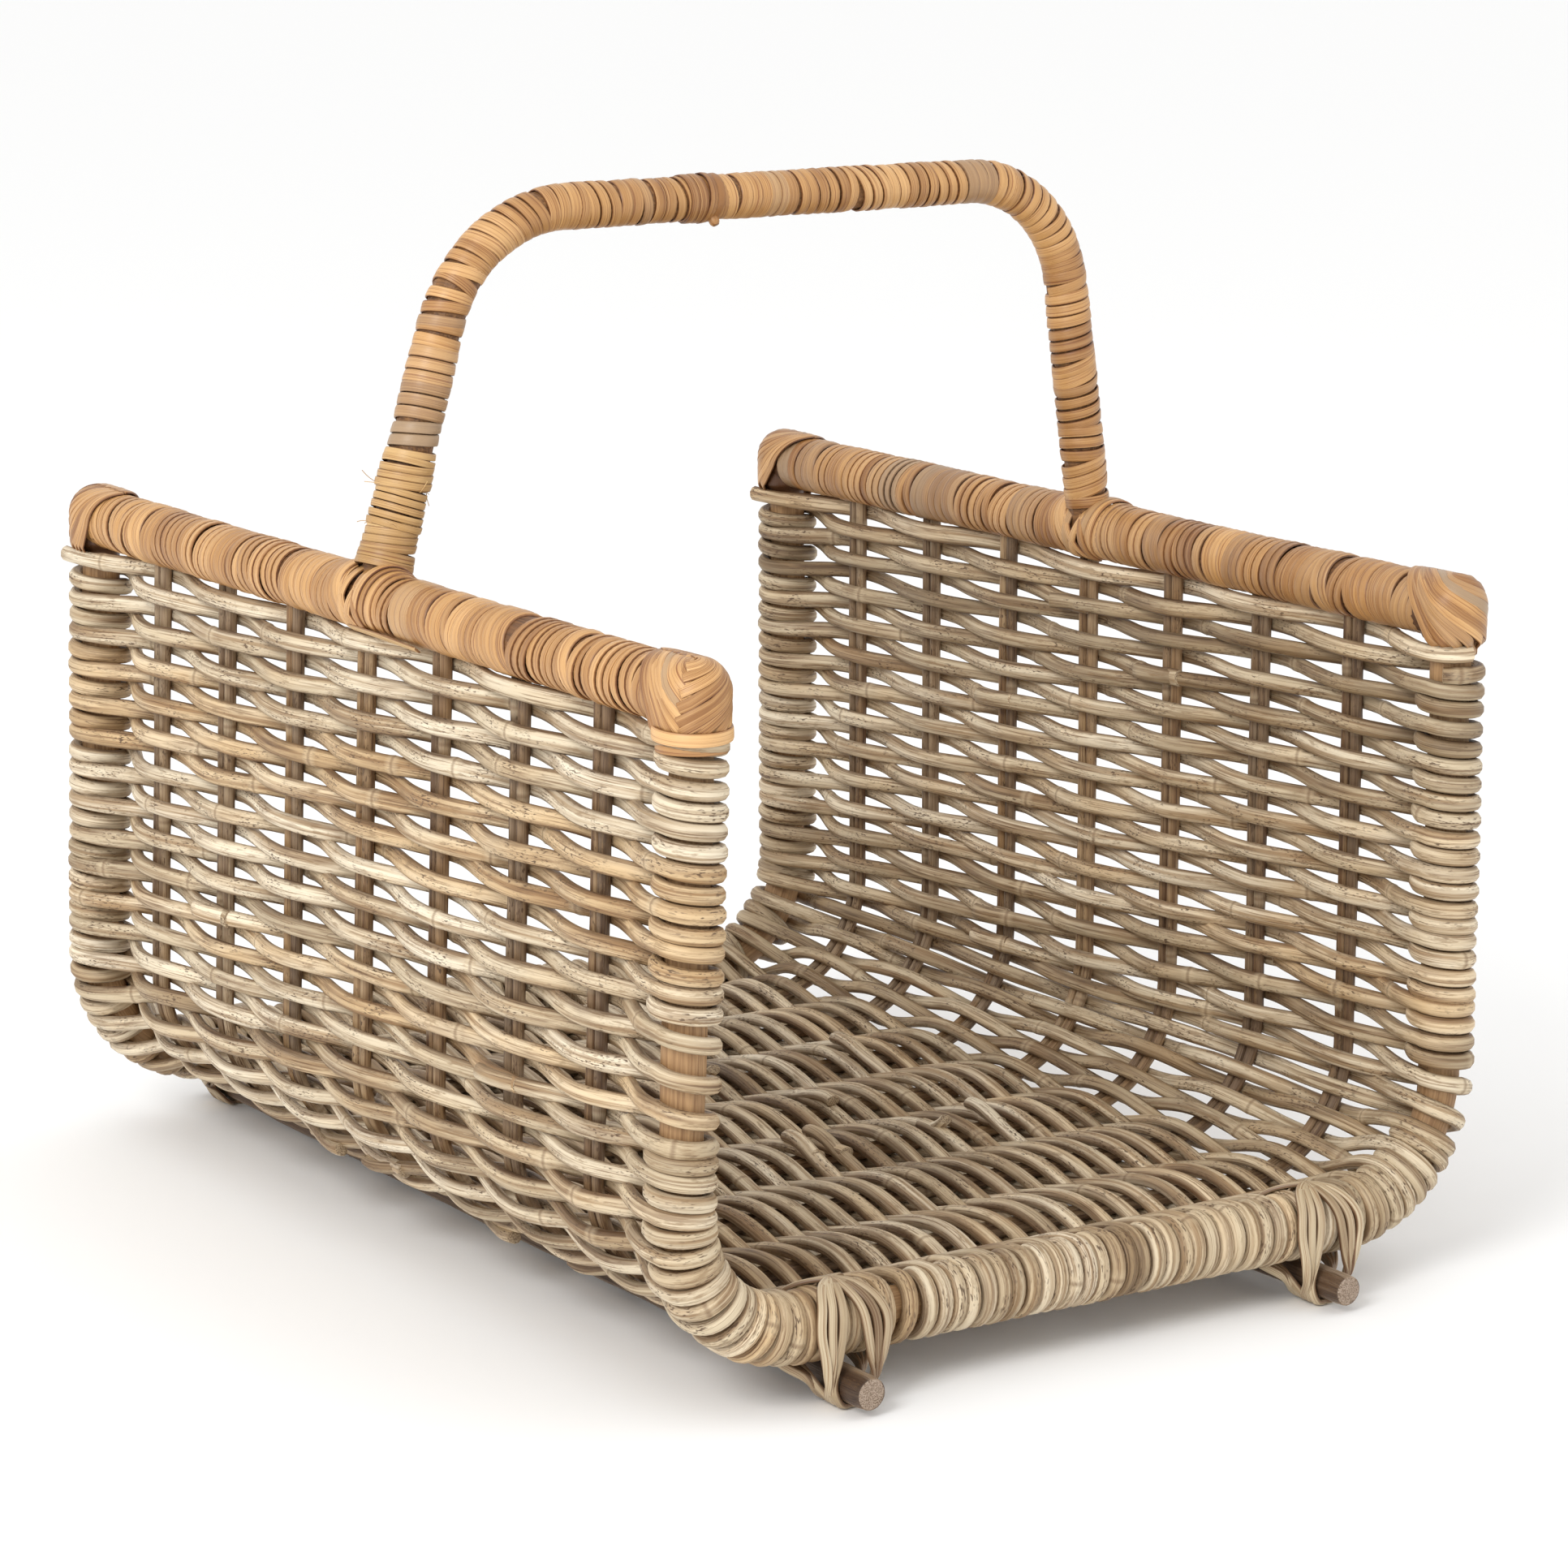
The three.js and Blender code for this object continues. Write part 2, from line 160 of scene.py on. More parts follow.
class SheetLine:
    """The U of the woven sheet seen from the front: down the left wall, across, up the right wall."""

    def __init__(self, top_z):
        lean = math.atan2(WALL_FOOT_X - RAIL_X, RAIL_Z - FLOOR_Z)
        self.turn = math.pi / 2 + lean
        tangent = CORNER_R * math.tan(self.turn / 2)
        top_x = RAIL_X + (RAIL_Z - top_z) * math.tan(lean)
        self.top = np.array([-top_x, top_z])
        self.down = np.array([-math.sin(lean), -math.cos(lean)])
        self.centre_x = WALL_FOOT_X - tangent
        self.wall = math.hypot(WALL_FOOT_X - top_x, top_z - FLOOR_Z) - tangent
        self.bend = CORNER_R * self.turn
        self.floor = 2 * self.centre_x
        self.length = 2 * (self.wall + self.bend) + self.floor

    def heading(self, s):
        first = np.clip((s - self.wall) / self.bend, 0, 1)
        second = np.clip((s - self.wall - self.bend - self.floor) / self.bend, 0, 1)
        return self.turn * (first + second - 1)

    def direction(self, s):
        angle = self.heading(np.asarray(s, float))
        return joined(np.cos(angle), 0, np.sin(angle))

    def place(self, s, y, out):
        """Points at length s from the left top, place y, and distance out of the sheet's middle."""
        s = np.asarray(s, float)
        angle = self.heading(s)
        normal = joined(np.sin(angle), -np.cos(angle))
        mirror = np.where(s > self.length / 2, -1, 1)
        t = np.where(mirror < 0, self.length - s, s)
        left_normal = joined(mirror * normal[..., 0], normal[..., 1])
        on_wall = self.top + self.down * np.minimum(t, self.wall)[..., None]
        on_bend = np.array([-self.centre_x, FLOOR_Z + CORNER_R]) + CORNER_R * left_normal
        over = t - self.wall - self.bend
        on_floor = joined(-self.centre_x + over, FLOOR_Z)
        below = np.where((over < 0)[..., None], on_bend, on_floor)
        left = np.where((t < self.wall)[..., None], on_wall, below)
        left[..., 0] *= mirror
        flat = left + normal * np.asarray(out)[..., None]
        return joined(flat[..., 0], y, flat[..., 1])


# ---------------------------------------------------------------- meshes

class Build:
    """Collects swept canes and strips, and makes one mesh of them with three values at each point.

    grain is a place in the strand: two coordinates across it and its length.
    tone is warmth or wear, lightness, and how far the strand is the core under the peel, its own colour
    darkened as painted shade for the gaps between strips.
    mark is ring or edge, cut face, and a number of the strand's own.
    """

    def __init__(self):
        self.points, self.quads, self.triangles = [], [], []
        self.grain, self.tone, self.mark = [], [], []
        self.count = 0

    def _store(self, points, grain, tone, mark):
        size = points.shape[0]
        self.points.append(points)
        self.grain.append(grain)
        self.tone.append(np.broadcast_to(tone, (size, 3)))
        self.mark.append(np.broadcast_to(mark, (size, 3)))
        self.count += size

    def sweep(self, rings, grain, tone, edge):
        """rings and grain are (n, sides, 3), and edge is (n, sides)."""
        n, sides, _ = rings.shape
        index = self.count + np.arange(n * sides).reshape(n, sides)
        following = np.roll(index, -1, axis=1)
        around = joined(index[:-1], following[:-1], following[1:], index[1:])
        self.quads.append(around.reshape(-1, 4))
        own = rng.random()
        mark = joined(edge, 0, own)
        self._store(rings.reshape(-1, 3), grain.reshape(-1, 3), tone, mark.reshape(-1, 3))
        outward = unit(rings[0].mean(0) - rings[1].mean(0))
        self._cap(index[0][::-1], rings[0][::-1], grain[0][::-1], tone, own, outward)
        outward = unit(rings[-1].mean(0) - rings[-2].mean(0))
        self._cap(index[-1], rings[-1], grain[-1], tone, own, outward)

    def _cap(self, outer, ring, grain, tone, own, outward):
        """Closes an end with a small bevel and a flat cut face."""
        centre = ring.mean(0)
        inner = self.count + np.arange(len(outer))
        following = np.roll(outer, -1)
        inner_following = np.roll(inner, -1)
        self.quads.append(joined(outer, following, inner_following, inner))
        bevelled = centre + (ring - centre) * 0.86 + outward * 0.3 * MM
        self._store(bevelled, grain, tone, (0, 1, own))
        self.triangles.append(joined(inner, inner_following, self.count))
        self._store(bevelled.mean(0)[None], grain.mean(0)[None], tone, (0, 1, own))

    def finish(self, name, material, replaces=(), slot=None):
        mesh = bpy.data.meshes.new(name)
        points = np.concatenate(self.points)
        quads = np.concatenate(self.quads)
        triangles = np.concatenate(self.triangles)
        mesh.vertices.add(len(points))
        mesh.vertices.foreach_set("co", points.astype(np.float32).ravel())
        corners = np.concatenate([quads.ravel(), triangles.ravel()])
        starts = np.concatenate([np.arange(len(quads)) * 4, len(quads) * 4 + np.arange(len(triangles)) * 3])
        mesh.loops.add(len(corners))
        mesh.loops.foreach_set("vertex_index", corners.astype(np.int32))
        mesh.polygons.add(len(starts))
        mesh.polygons.foreach_set("loop_start", starts.astype(np.int32))
        mesh.polygons.foreach_set("use_smooth", np.ones(len(starts), bool))
        for key, data in (("grain", self.grain), ("tone", self.tone), ("mark", self.mark)):
            attribute = mesh.attributes.new(key, "FLOAT_VECTOR", "POINT")
            attribute.data.foreach_set("vector", np.concatenate(data).astype(np.float32).ravel())
        mesh.update(calc_edges=True)
        mesh.validate()
        mesh.set_sharp_from_angle(angle=math.radians(55))
        mesh.materials.append(material)
        piece = bpy.data.objects.new(name, mesh)
        bpy.context.scene.collection.objects.link(piece)
        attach(piece, "root")
        if replaces:
            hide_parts(*replaces)
        return piece


def add_cane(build, points, tone, wide, deep=None, across=None, sides=CANE_SIDES, joints=True):
    """An oval cane along points. wide lies along across, and deep at right angles to it."""
    deep = wide if deep is None else deep
    tangents = unit(np.gradient(points, axis=0))
    side = carried_sides(points) if across is None else across
    side = unit(side - tangents * np.sum(side * tangents, -1, keepdims=True))
    other = np.cross(tangents, side)
    along = lengths_along(points)
    swell, ring = node_rings(along) if joints else (np.ones_like(along), np.zeros_like(along))
    swell = swell * (1 + wander(along, 0.05, 0.09))
    angle = np.arange(sides) * TAU / sides
    flat_a = np.cos(angle)[None, :] * (np.broadcast_to(wide, along.shape) * swell)[:, None]
    flat_b = np.sin(angle)[None, :] * (np.broadcast_to(deep, along.shape) * swell)[:, None]
    rings = points[:, None] + side[:, None] * flat_a[..., None] + other[:, None] * flat_b[..., None]
    length = np.broadcast_to((along + rng.uniform(0, 50))[:, None], flat_a.shape)
    grain = joined(flat_a, flat_b, length)
    build.sweep(rings, grain, tone, np.broadcast_to(ring[:, None], flat_a.shape))


def node_rings(along):
    """Rattan swells a little at its joints, every 15 to 30 cm. The second value rises to 1 at each."""
    swell = np.ones_like(along)
    ring = np.zeros_like(along)
    place = rng.uniform(0.01, 0.25)
    while place < along[-1]:
        distance = np.abs(along - along[np.argmin(np.abs(along - place))])
        swell += 0.09 * np.exp(-((distance / (2.6 * MM)) ** 2))
        ring = np.maximum(ring, 1 - distance / (9 * MM))
        place += rng.uniform(0.13, 0.28)
    return swell, ring


STRIP_ACROSS = np.array([-1, -0.93, -0.62, 0, 0.62, 0.93, 1, 0.9, -0.9])
STRIP_HEIGHT = np.array([0.15, 0.74, 0.96, 1, 0.96, 0.74, 0.15, 0, 0])


def add_strip(build, points, normals, width, thickness, tone, lap=0.0):
    """A flat peel strip along points, its back towards -normals. lap lifts one edge over the other."""
    tangents = unit(np.gradient(points, axis=0))
    normals = unit(normals - tangents * np.sum(normals * tangents, -1, keepdims=True))
    across = np.cross(tangents, normals)
    width = np.broadcast_to(width, (len(points),))
    lap = np.broadcast_to(lap, (len(points),))
    sideways = STRIP_ACROSS[None] * width[:, None] / 2
    up = STRIP_HEIGHT[None] * thickness + STRIP_ACROSS[None] * lap[:, None] / 2
    rings = points[:, None] + across[:, None] * sideways[..., None] + normals[:, None] * up[..., None]
    length = np.broadcast_to((lengths_along(points) + rng.uniform(0, 50))[:, None], up.shape)
    grain = joined(sideways, up, length)
    edge = np.broadcast_to(np.abs(STRIP_ACROSS)[None], up.shape)
    build.sweep(rings[:, ::-1], grain[:, ::-1], tone, edge[:, ::-1])


# ---------------------------------------------------------------- materials

def srgb(r, g, b):
    def linear(c):
        c /= 255
        return c / 12.92 if c <= 0.04045 else ((c + 0.055) / 1.055) ** 2.4

    return (linear(r), linear(g), linear(b), 1)


class Shader:
    """A node material in the making."""

    def __init__(self, name, roughness, coat=0.0):
        self.material = bpy.data.materials.new(name)
        self.material.use_nodes = True
        self.tree = self.material.node_tree
        self.tree.nodes.clear()
        self.surface = self.new("ShaderNodeBsdfPrincipled")
        self.surface.inputs["Roughness"].default_value = roughness
        self.surface.inputs["Coat Weight"].default_value = coat
        self.surface.inputs["Coat Roughness"].default_value = 0.3
        output = self.new("ShaderNodeOutputMaterial")
        self.link(self.surface.outputs[0], output.inputs["Surface"])

    def new(self, kind, **settings):
        node = self.tree.nodes.new(kind)
        for key, value in settings.items():
            setattr(node, key, value)
        return node

    def link(self, source, target):
        self.tree.links.new(source, target)

    def put(self, socket, value):
        if isinstance(value, bpy.types.NodeSocket):
            self.link(value, socket)
        else:
            socket.default_value = value

    def attribute(self, name):
        return self.new("ShaderNodeAttribute", attribute_name=name).outputs["Vector"]

    def parts(self, vector):
        node = self.new("ShaderNodeSeparateXYZ")
        self.put(node.inputs[0], vector)
        return node.outputs

    def scaled(self, vector, scale):
        node = self.new("ShaderNodeVectorMath", operation="MULTIPLY")
        self.put(node.inputs[0], vector)
        node.inputs[1].default_value = scale
        return node.outputs[0]

    def maths(self, operation, a, b=0.0):
        node = self.new("ShaderNodeMath", operation=operation)
        self.put(node.inputs[0], a)
        self.put(node.inputs[1], b)
        return node.outputs[0]

    def noise(self, vector, detail=2.0, roughness=0.5):
        node = self.new("ShaderNodeTexNoise")
        self.put(node.inputs["Vector"], vector)
        node.inputs["Scale"].default_value = 1.0
        node.inputs["Detail"].default_value = detail
        node.inputs["Roughness"].default_value = roughness
        return node.outputs["Fac"]

    def spread(self, value, low, high, to_low=0.0, to_high=1.0):
        node = self.new("ShaderNodeMapRange")
        self.put(node.inputs["Value"], value)
        node.inputs["From Min"].default_value = low
        node.inputs["From Max"].default_value = high
        node.inputs["To Min"].default_value = to_low
        node.inputs["To Max"].default_value = to_high
        return node.outputs[0]

    def mix(self, factor, a, b, blend="MIX"):
        node = self.new("ShaderNodeMix", data_type="RGBA", blend_type=blend)
        self.put(node.inputs["Factor"], factor)
        self.put(node.inputs[6], a)
        self.put(node.inputs[7], b)
        return node.outputs[2]

    def stained(self, factor, base, colour):
        return self.mix(factor, base, self.mix(1.0, base, colour, "MULTIPLY"))

    def ramp(self, value, stops):
        node = self.new("ShaderNodeValToRGB")
        self.put(node.inputs[0], value)
        elements = node.color_ramp.elements
        while len(elements) < len(stops):
            elements.new(0.5)
        for element, (place, colour) in zip(elements, stops):
            element.position = place
            element.color = colour
        return node.outputs[0]

    def bump(self, height, distance, strength=1.0):
        node = self.new("ShaderNodeBump")
        self.put(node.inputs["Height"], height)
        node.inputs["Distance"].default_value = distance
        node.inputs["Strength"].default_value = strength
        return node.outputs[0]

    def done(self, colour, normal=None):
        self.put(self.surface.inputs["Base Color"], colour)
        if normal is not None:
            self.put(self.surface.inputs["Normal"], normal)
        return self.material


def cane_material(name, grey_stops, warm_stops, cut_colour):
    """Weathered rattan core: fibres, stains, clusters of dark specks, ringed joints, cut ends, and painted
    shade along the edges where canes touch.
    """
    m = Shader(name, 0.55)
    grain = m.attribute("grain")
    warmth, lightness, _ = m.parts(m.attribute("tone"))
    ring, cut, _ = m.parts(m.attribute("mark"))
    across, _, _ = m.parts(grain)
    fibre = m.noise(m.scaled(grain, (1500, 1500, 26)), 3.0, 0.6)
    streak = m.noise(m.scaled(grain, (380, 380, 8)))
    patch = m.noise(m.scaled(grain, (70, 70, 26)), 3.0)
    shade = m.noise(m.scaled(grain, (90, 90, 9)), 2.0)
    cluster = m.noise(m.scaled(grain, (160, 160, 55)))
    speck = m.noise(m.scaled(grain, (1500, 1500, 420)), 1.0)
    lightness = m.maths("ADD", lightness, m.spread(shade, 0.3, 0.7, -0.22, 0.22))
    slow = m.noise(m.scaled(grain, (25, 25, 2.3)), 1.0)
    lightness = m.maths("ADD", lightness, m.spread(slow, 0.32, 0.68, -0.22, 0.22))
    stops = (0.0, 0.5, 1.0)
    grey = m.ramp(lightness, list(zip(stops, grey_stops)))
    warm = m.ramp(lightness, list(zip(stops, warm_stops)))
    warmth = m.maths("ADD", warmth, m.spread(patch, 0.35, 0.7, -0.25, 0.3))
    warmth = m.maths("ADD", warmth, m.spread(slow, 0.34, 0.62, 0.25, -0.25))
    base = m.mix(m.spread(warmth, 0, 1), grey, warm)
    base = m.stained(m.spread(streak, 0.45, 0.64, 0.0, 0.85), base, srgb(178, 156, 130))
    base = m.stained(m.spread(fibre, 0.52, 0.68, 0.0, 0.8), base, srgb(146, 118, 88))
    grime = m.noise(m.scaled(grain, (260, 260, 22)), 3.0, 0.6)
    base = m.stained(m.spread(grime, 0.54, 0.74, 0.0, 0.7), base, srgb(150, 124, 96))
    bark = m.noise(m.scaled(grain, (420, 420, 70)), 4.0, 0.7)
    base = m.mix(m.spread(bark, 0.56, 0.64, 0.0, 0.6), base, srgb(138, 110, 76))
    # Painted shade: the cane darkens towards the edges of its wide side, where it touches its neighbours.
    crease_shade = m.spread(m.maths("ABSOLUTE", across), 2.7 * MM, 4.2 * MM, 0.0, 0.8)
    base = m.stained(crease_shade, base, srgb(132, 102, 70))
    spotted = m.maths("MULTIPLY", m.spread(speck, 0.56, 0.66), m.spread(cluster, 0.48, 0.62, 0.0, 0.9))
    base = m.mix(spotted, base, srgb(84, 60, 38))
    base = m.mix(m.spread(ring, 0.5, 0.8, 0.0, 0.3), base, srgb(216, 196, 162))
    base = m.mix(m.spread(ring, 0.86, 0.97, 0.0, 0.5), base, srgb(112, 80, 50))
    face = m.ramp(fibre, [(0.38, srgb(112, 90, 68)), (0.6, cut_colour)])
    base = m.mix(m.spread(cut, 0.4, 0.6), base, face)
    return m.done(base, m.bump(fibre, 0.45 * MM))


def peel_material(name, dark, middle_colour, light, coat=0.15):
    """Rattan peel: fine lengthwise lines, edges darkened as painted shade between strips, and a glossy
    skin.
    """
    m = Shader(name, 0.44, coat)
    grain = m.attribute("grain")
    worn, lightness, shaded_core = m.parts(m.attribute("tone"))
    edge, cut, _ = m.parts(m.attribute("mark"))
    fibre = m.noise(m.scaled(grain, (2400, 300, 12)), 3.0, 0.6)
    streak = m.noise(m.scaled(grain, (800, 300, 6)))
    patch = m.noise(m.scaled(grain, (110, 110, 32)), 3.0)
    lightness = m.maths("ADD", lightness, m.spread(patch, 0.3, 0.7, -0.2, 0.2))
    base = m.ramp(lightness, [(0.0, dark), (0.5, middle_colour), (1.0, light)])
    base = m.mix(m.spread(streak, 0.5, 0.75, 0.0, 0.45), base, light)
    base = m.stained(m.spread(fibre, 0.5, 0.66, 0.0, 0.85), base, srgb(172, 132, 92))
    # Painted shade: each strip darkens at its edges, standing in for the shade in the gaps between strips.
    base = m.stained(m.spread(edge, 0.84, 1.0, 0.0, 0.9), base, srgb(132, 88, 52))
    base = m.mix(m.spread(worn, 0.5, 1.0, 0.0, 0.8), base, srgb(162, 138, 110))
    base = m.mix(m.spread(cut, 0.4, 0.6), base, srgb(140, 100, 62))
    # Painted shade: the core under the strips is darkened, partly its own colour and partly the shade in
    # the gaps between strips.
    base = m.mix(shaded_core, base, srgb(84, 52, 28))
    return m.done(base, m.bump(fibre, 0.24 * MM))


def bark_material(name, dark, light):
    """Poles under the wraps."""
    m = Shader(name, 0.6)
    grain = m.attribute("grain")
    fibre = m.noise(m.scaled(grain, (900, 900, 30)), 3.0)
    base = m.ramp(fibre, [(0.3, dark), (0.7, light)])
    return m.done(base, m.bump(fibre, 0.3 * MM))


def nail_material():
    m = Shader("nail_steel", 0.4)
    m.surface.inputs["Metallic"].default_value = 1.0
    place = m.new("ShaderNodeTexCoord").outputs["Object"]
    patch = m.noise(m.scaled(place, (900, 900, 900)))
    return m.done(m.ramp(patch, [(0.3, srgb(120, 118, 114)), (0.7, srgb(176, 174, 170))]))


def pin_material():
    """CAD pieces that stay hidden under the wraps."""
    m = Shader("hidden_pole", 0.6)
    place = m.new("ShaderNodeTexCoord").outputs["Object"]
    fibre = m.noise(m.scaled(place, (900, 60, 900)), 3.0)
    base = m.ramp(fibre, [(0.3, srgb(88, 56, 30)), (0.7, srgb(146, 102, 58))])
    return m.done(base, m.bump(fibre, 0.3 * MM))


CANE = cane_material(
    "weathered_cane",
    (srgb(144, 123, 93), srgb(210, 192, 161), srgb(241, 228, 203)),
    (srgb(150, 122, 86), srgb(207, 176, 132), srgb(237, 213, 174)),
    srgb(190, 168, 136),
)
STAKE = cane_material(
    "stake_cane",
    (srgb(102, 82, 62), srgb(146, 123, 96), srgb(184, 162, 132)),
    (srgb(106, 76, 48), srgb(152, 118, 78), srgb(186, 152, 108)),
    srgb(190, 168, 138),
)
RUNNER = cane_material(
    "runner_pole",
    (srgb(118, 102, 88), srgb(158, 140, 120), srgb(188, 170, 148)),
    (srgb(126, 102, 78), srgb(164, 140, 112), srgb(190, 168, 140)),
    srgb(176, 156, 138),
)
PEEL = peel_material("honey_peel", srgb(150, 102, 54), srgb(197, 149, 92), srgb(226, 181, 124))
STRAW = peel_material("straw_peel", srgb(158, 118, 68), srgb(194, 154, 98), srgb(218, 182, 126))
LASH = peel_material("lashing_cane", srgb(124, 100, 70), srgb(172, 150, 118), srgb(206, 188, 156), 0.05)
# The rail poles under the wraps: their colour is darkened as painted shade for the gaps between the wraps.
SHADED_UNDER_WRAP = bark_material("under_wrap_shaded", srgb(70, 44, 24), srgb(128, 86, 48))
POLE = bark_material("bent_pole", srgb(138, 102, 66), srgb(186, 148, 104))
NAIL = nail_material()
HIDDEN = pin_material()


# ---------------------------------------------------------------- weave

SHEET = SheetLine(TOP_ROW_Z)


def row_places():
    """Where the rows lie along the sheet: tighter towards the floor, an even number of them."""
    places = [0.0]
    while places[-1] < SHEET.length:
        from_top = min(places[-1], SHEET.length - places[-1])
        places.append(places[-1] + TOP_PITCH + (LOW_PITCH - TOP_PITCH) * min(from_top / PITCH_FALL, 1))
    if len(places) % 2:
        places.pop()
    places = np.array(places) * SHEET.length / places[-1]
    places[1:-1] += rng.normal(0, 0.45 * MM, len(places) - 2)
    return places


ROW_S = row_places()
ROWS = len(ROW_S)
DRIFT_SIZE = 0.5 * MM
DRIFT_WAVES = [(rng.uniform(-40, 40), rng.uniform(-30, 30), rng.uniform(0, TAU)) for _ in range(6)]


def side_of(row, upright):
    """+1 where a row passes outside an upright, -1 where it passes inside."""
    return 1 if (row + upright) % 2 == 0 else -1


def out_of_sheet(row, y):
    """How far a row's middle stands out of the sheet at places y."""
    size = np.full(LAST + 1, STAKE_OUT) + rng.uniform(-0.3, 0.9, LAST + 1) * MM
    size[[0, -1]] = POLE_OUT
    value = np.array([size[k] * side_of(row, k) for k in range(LAST + 1)])
    k = np.clip(np.searchsorted(UPRIGHTS, y) - 1, 0, LAST - 1)
    t = np.clip((y - UPRIGHTS[k]) / (UPRIGHTS[k + 1] - UPRIGHTS[k]), 0, 1)
    blend = (1 - np.cos(math.pi * t)) / 2
    return value[k] * (1 - blend) + value[k + 1] * blend


def drift(s, y):
    """Slow unevenness that neighbouring rows share."""
    return DRIFT_SIZE * sum(np.sin(a * s + b * y + phase) for a, b, phase in DRIFT_WAVES)


def row_run(row, start, end, shifts):
    """A row from y start to y end. shifts move its two ends along the sheet towards their turns."""
    count = max(4, int(abs(end - start) / CANE_STEP))
    y = np.linspace(start, end, count)
    s = np.full_like(y, ROW_S[row])
    edge = ease((POLE_Y - np.abs(y)) / (60 * MM))
    s += edge * (drift(s, y) + wander(y, 0.5 * MM, rng.uniform(0.1, 0.25)))
    for shift, place in zip(shifts, (start, end)):
        s += shift * ease(1 - np.abs(y - place) / (48 * MM))
    return s, y, out_of_sheet(row, y)


def turn_round_pole(row, heading, half_turns, s_from, s_to):
    """The cane's turns round a frame pole, from this row into the next."""
    whole = half_turns * math.pi
    angle = np.linspace(0, whole, int(whole * POLE_OUT / TURN_STEP))[1:-1]
    side = side_of(row, 0 if heading < 0 else LAST)
    radius = POLE_OUT + rng.uniform(-0.1, 0.35) * MM
    s = s_from + (s_to - s_from) * angle / whole
    return s, heading * (POLE_Y + radius * np.sin(angle)), side * radius * np.cos(angle)


def region_of(s):
    bounds = np.cumsum([SHEET.wall, SHEET.bend, SHEET.floor, SHEET.bend])
    names = ("left_wall", "left_corner", "floor", "right_corner", "right_wall")
    return names[int(np.searchsorted(bounds, s))]


def cane_tone(s):
    """The tone of one cane: mostly grey-beige, some cream, some tan.

    The canes are painted lighter towards the left wall, at small s, and darker towards the right wall:
    painted light and shade for how the lamps fall on the two walls.
    """
    kind = rng.random()
    # Painted light and shade: lightness rises towards the left wall and falls towards the right one.
    pale = 0.1 - 0.22 * s / SHEET.length
    if kind < 0.64:
        return (rng.uniform(0.0, 0.4), rng.uniform(0.3, 0.75) + pale, 0)
    if kind < 0.88:
        return (rng.uniform(0.1, 0.6), rng.uniform(0.7, 1.0) + pale, 0)
    return (rng.uniform(0.6, 1.0), rng.uniform(0.3, 0.8) + pale, 0)


class Weave:
    """Canes laid through the sheet, one at a time, into a mesh for each region."""

    def __init__(self):
        self.builds = {}
        self.restart()

    def restart(self):
        self.parts = []

    def lay(self, s, y, out):
        self.parts.append((s, y, out))

    def cut(self, thick=1.0):
        s, y, out = (np.concatenate(part) for part in zip(*self.parts))
        points = SHEET.place(s, y, out)
        keep = np.concatenate([[True], np.linalg.norm(np.diff(points, axis=0), axis=1) > 0.5 * MM])
        build = self.builds.setdefault(region_of(s[0]), Build())
        size = thick * rng.uniform(0.85, 1.06)
        at_pole = ease((np.abs(y[keep]) - (POLE_Y - 26 * MM)) / (18 * MM))
        wide = CANE_WIDE * size * (1 - at_pole) + POLE_CANE_WIDE * at_pole
        deep = CANE_DEEP * min(size, 1.02) * (1 - at_pole) + POLE_CANE_DEEP * at_pole
        add_cane(build, points[keep], cane_tone(s[0]), wide, deep, SHEET.direction(s)[keep])
        self.restart()


def splice(weave, row, heading, end, end_shift, upright):
    """Ends one cane at a stake and starts the next there, one lying over the other."""
    side = side_of(row, upright)
    place = UPRIGHTS[upright]
    stub = side < 0 and rng.random() < 0.4
    reach = rng.uniform(8, 15) * MM
    lift = rng.uniform(4, 12) * MM if stub else 0.3 * MM
    t = np.linspace(0.2, 1, 6)
    s_stub = ROW_S[row] + drift(ROW_S[row], place) + 0.6 * MM * t
    weave.lay(s_stub, place + heading * reach * t, side * (STAKE_OUT + lift * t**1.6))
    weave.cut()
    back = rng.uniform(4, 7) if stub else rng.uniform(9, 17)
    s, y, out = row_run(row, place - heading * back * MM, end, (0, end_shift))
    over = 0 if stub else 1.7 * CANE_DEEP
    weave.lay(s, y, out + side * over * ease(1 - np.abs(y - y[0]) / (30 * MM)))


def make_weave():
    weave = Weave()
    edge = POLE_Y + 12 * MM
    last = ROWS - 1
    weave.lay(*row_run(last, edge, -POLE_Y, (0, 0)))
    weave.lay(*turn_round_pole(last, -1, 0.62, ROW_S[last], ROW_S[last]))
    weave.cut(1.06)
    heading = -1
    shift = 0.0
    for row in range(ROWS - 1):
        start = -heading * (edge if row == 0 else POLE_Y)
        end = heading * POLE_Y
        gap = ROW_S[row + 1] - ROW_S[row]
        wrapped = rng.random() > 1 - EXTRA_WRAP
        next_shift = gap / 4 if wrapped else 0.0
        if rng.random() < SPLICED:
            upright = rng.integers(2, LAST - 1)
            weave.lay(*row_run(row, start, UPRIGHTS[upright], (shift, 0)))
            splice(weave, row, heading, end, -next_shift, upright)
        else:
            weave.lay(*row_run(row, start, end, (shift, -next_shift)))
        if row < ROWS - 2:
            s_from, s_to = ROW_S[row] - next_shift, ROW_S[row + 1] + next_shift
            weave.lay(*turn_round_pole(row, heading, 3 if wrapped else 1, s_from, s_to))
        else:
            weave.lay(*turn_round_pole(row, heading, 0.9, ROW_S[row] - next_shift, ROW_S[row]))
        heading = -heading
        shift = next_shift
    weave.cut()
    for region, build in weave.builds.items():
        build.finish(region + "_weavers", CANE, [region + "_weave"], "weave")


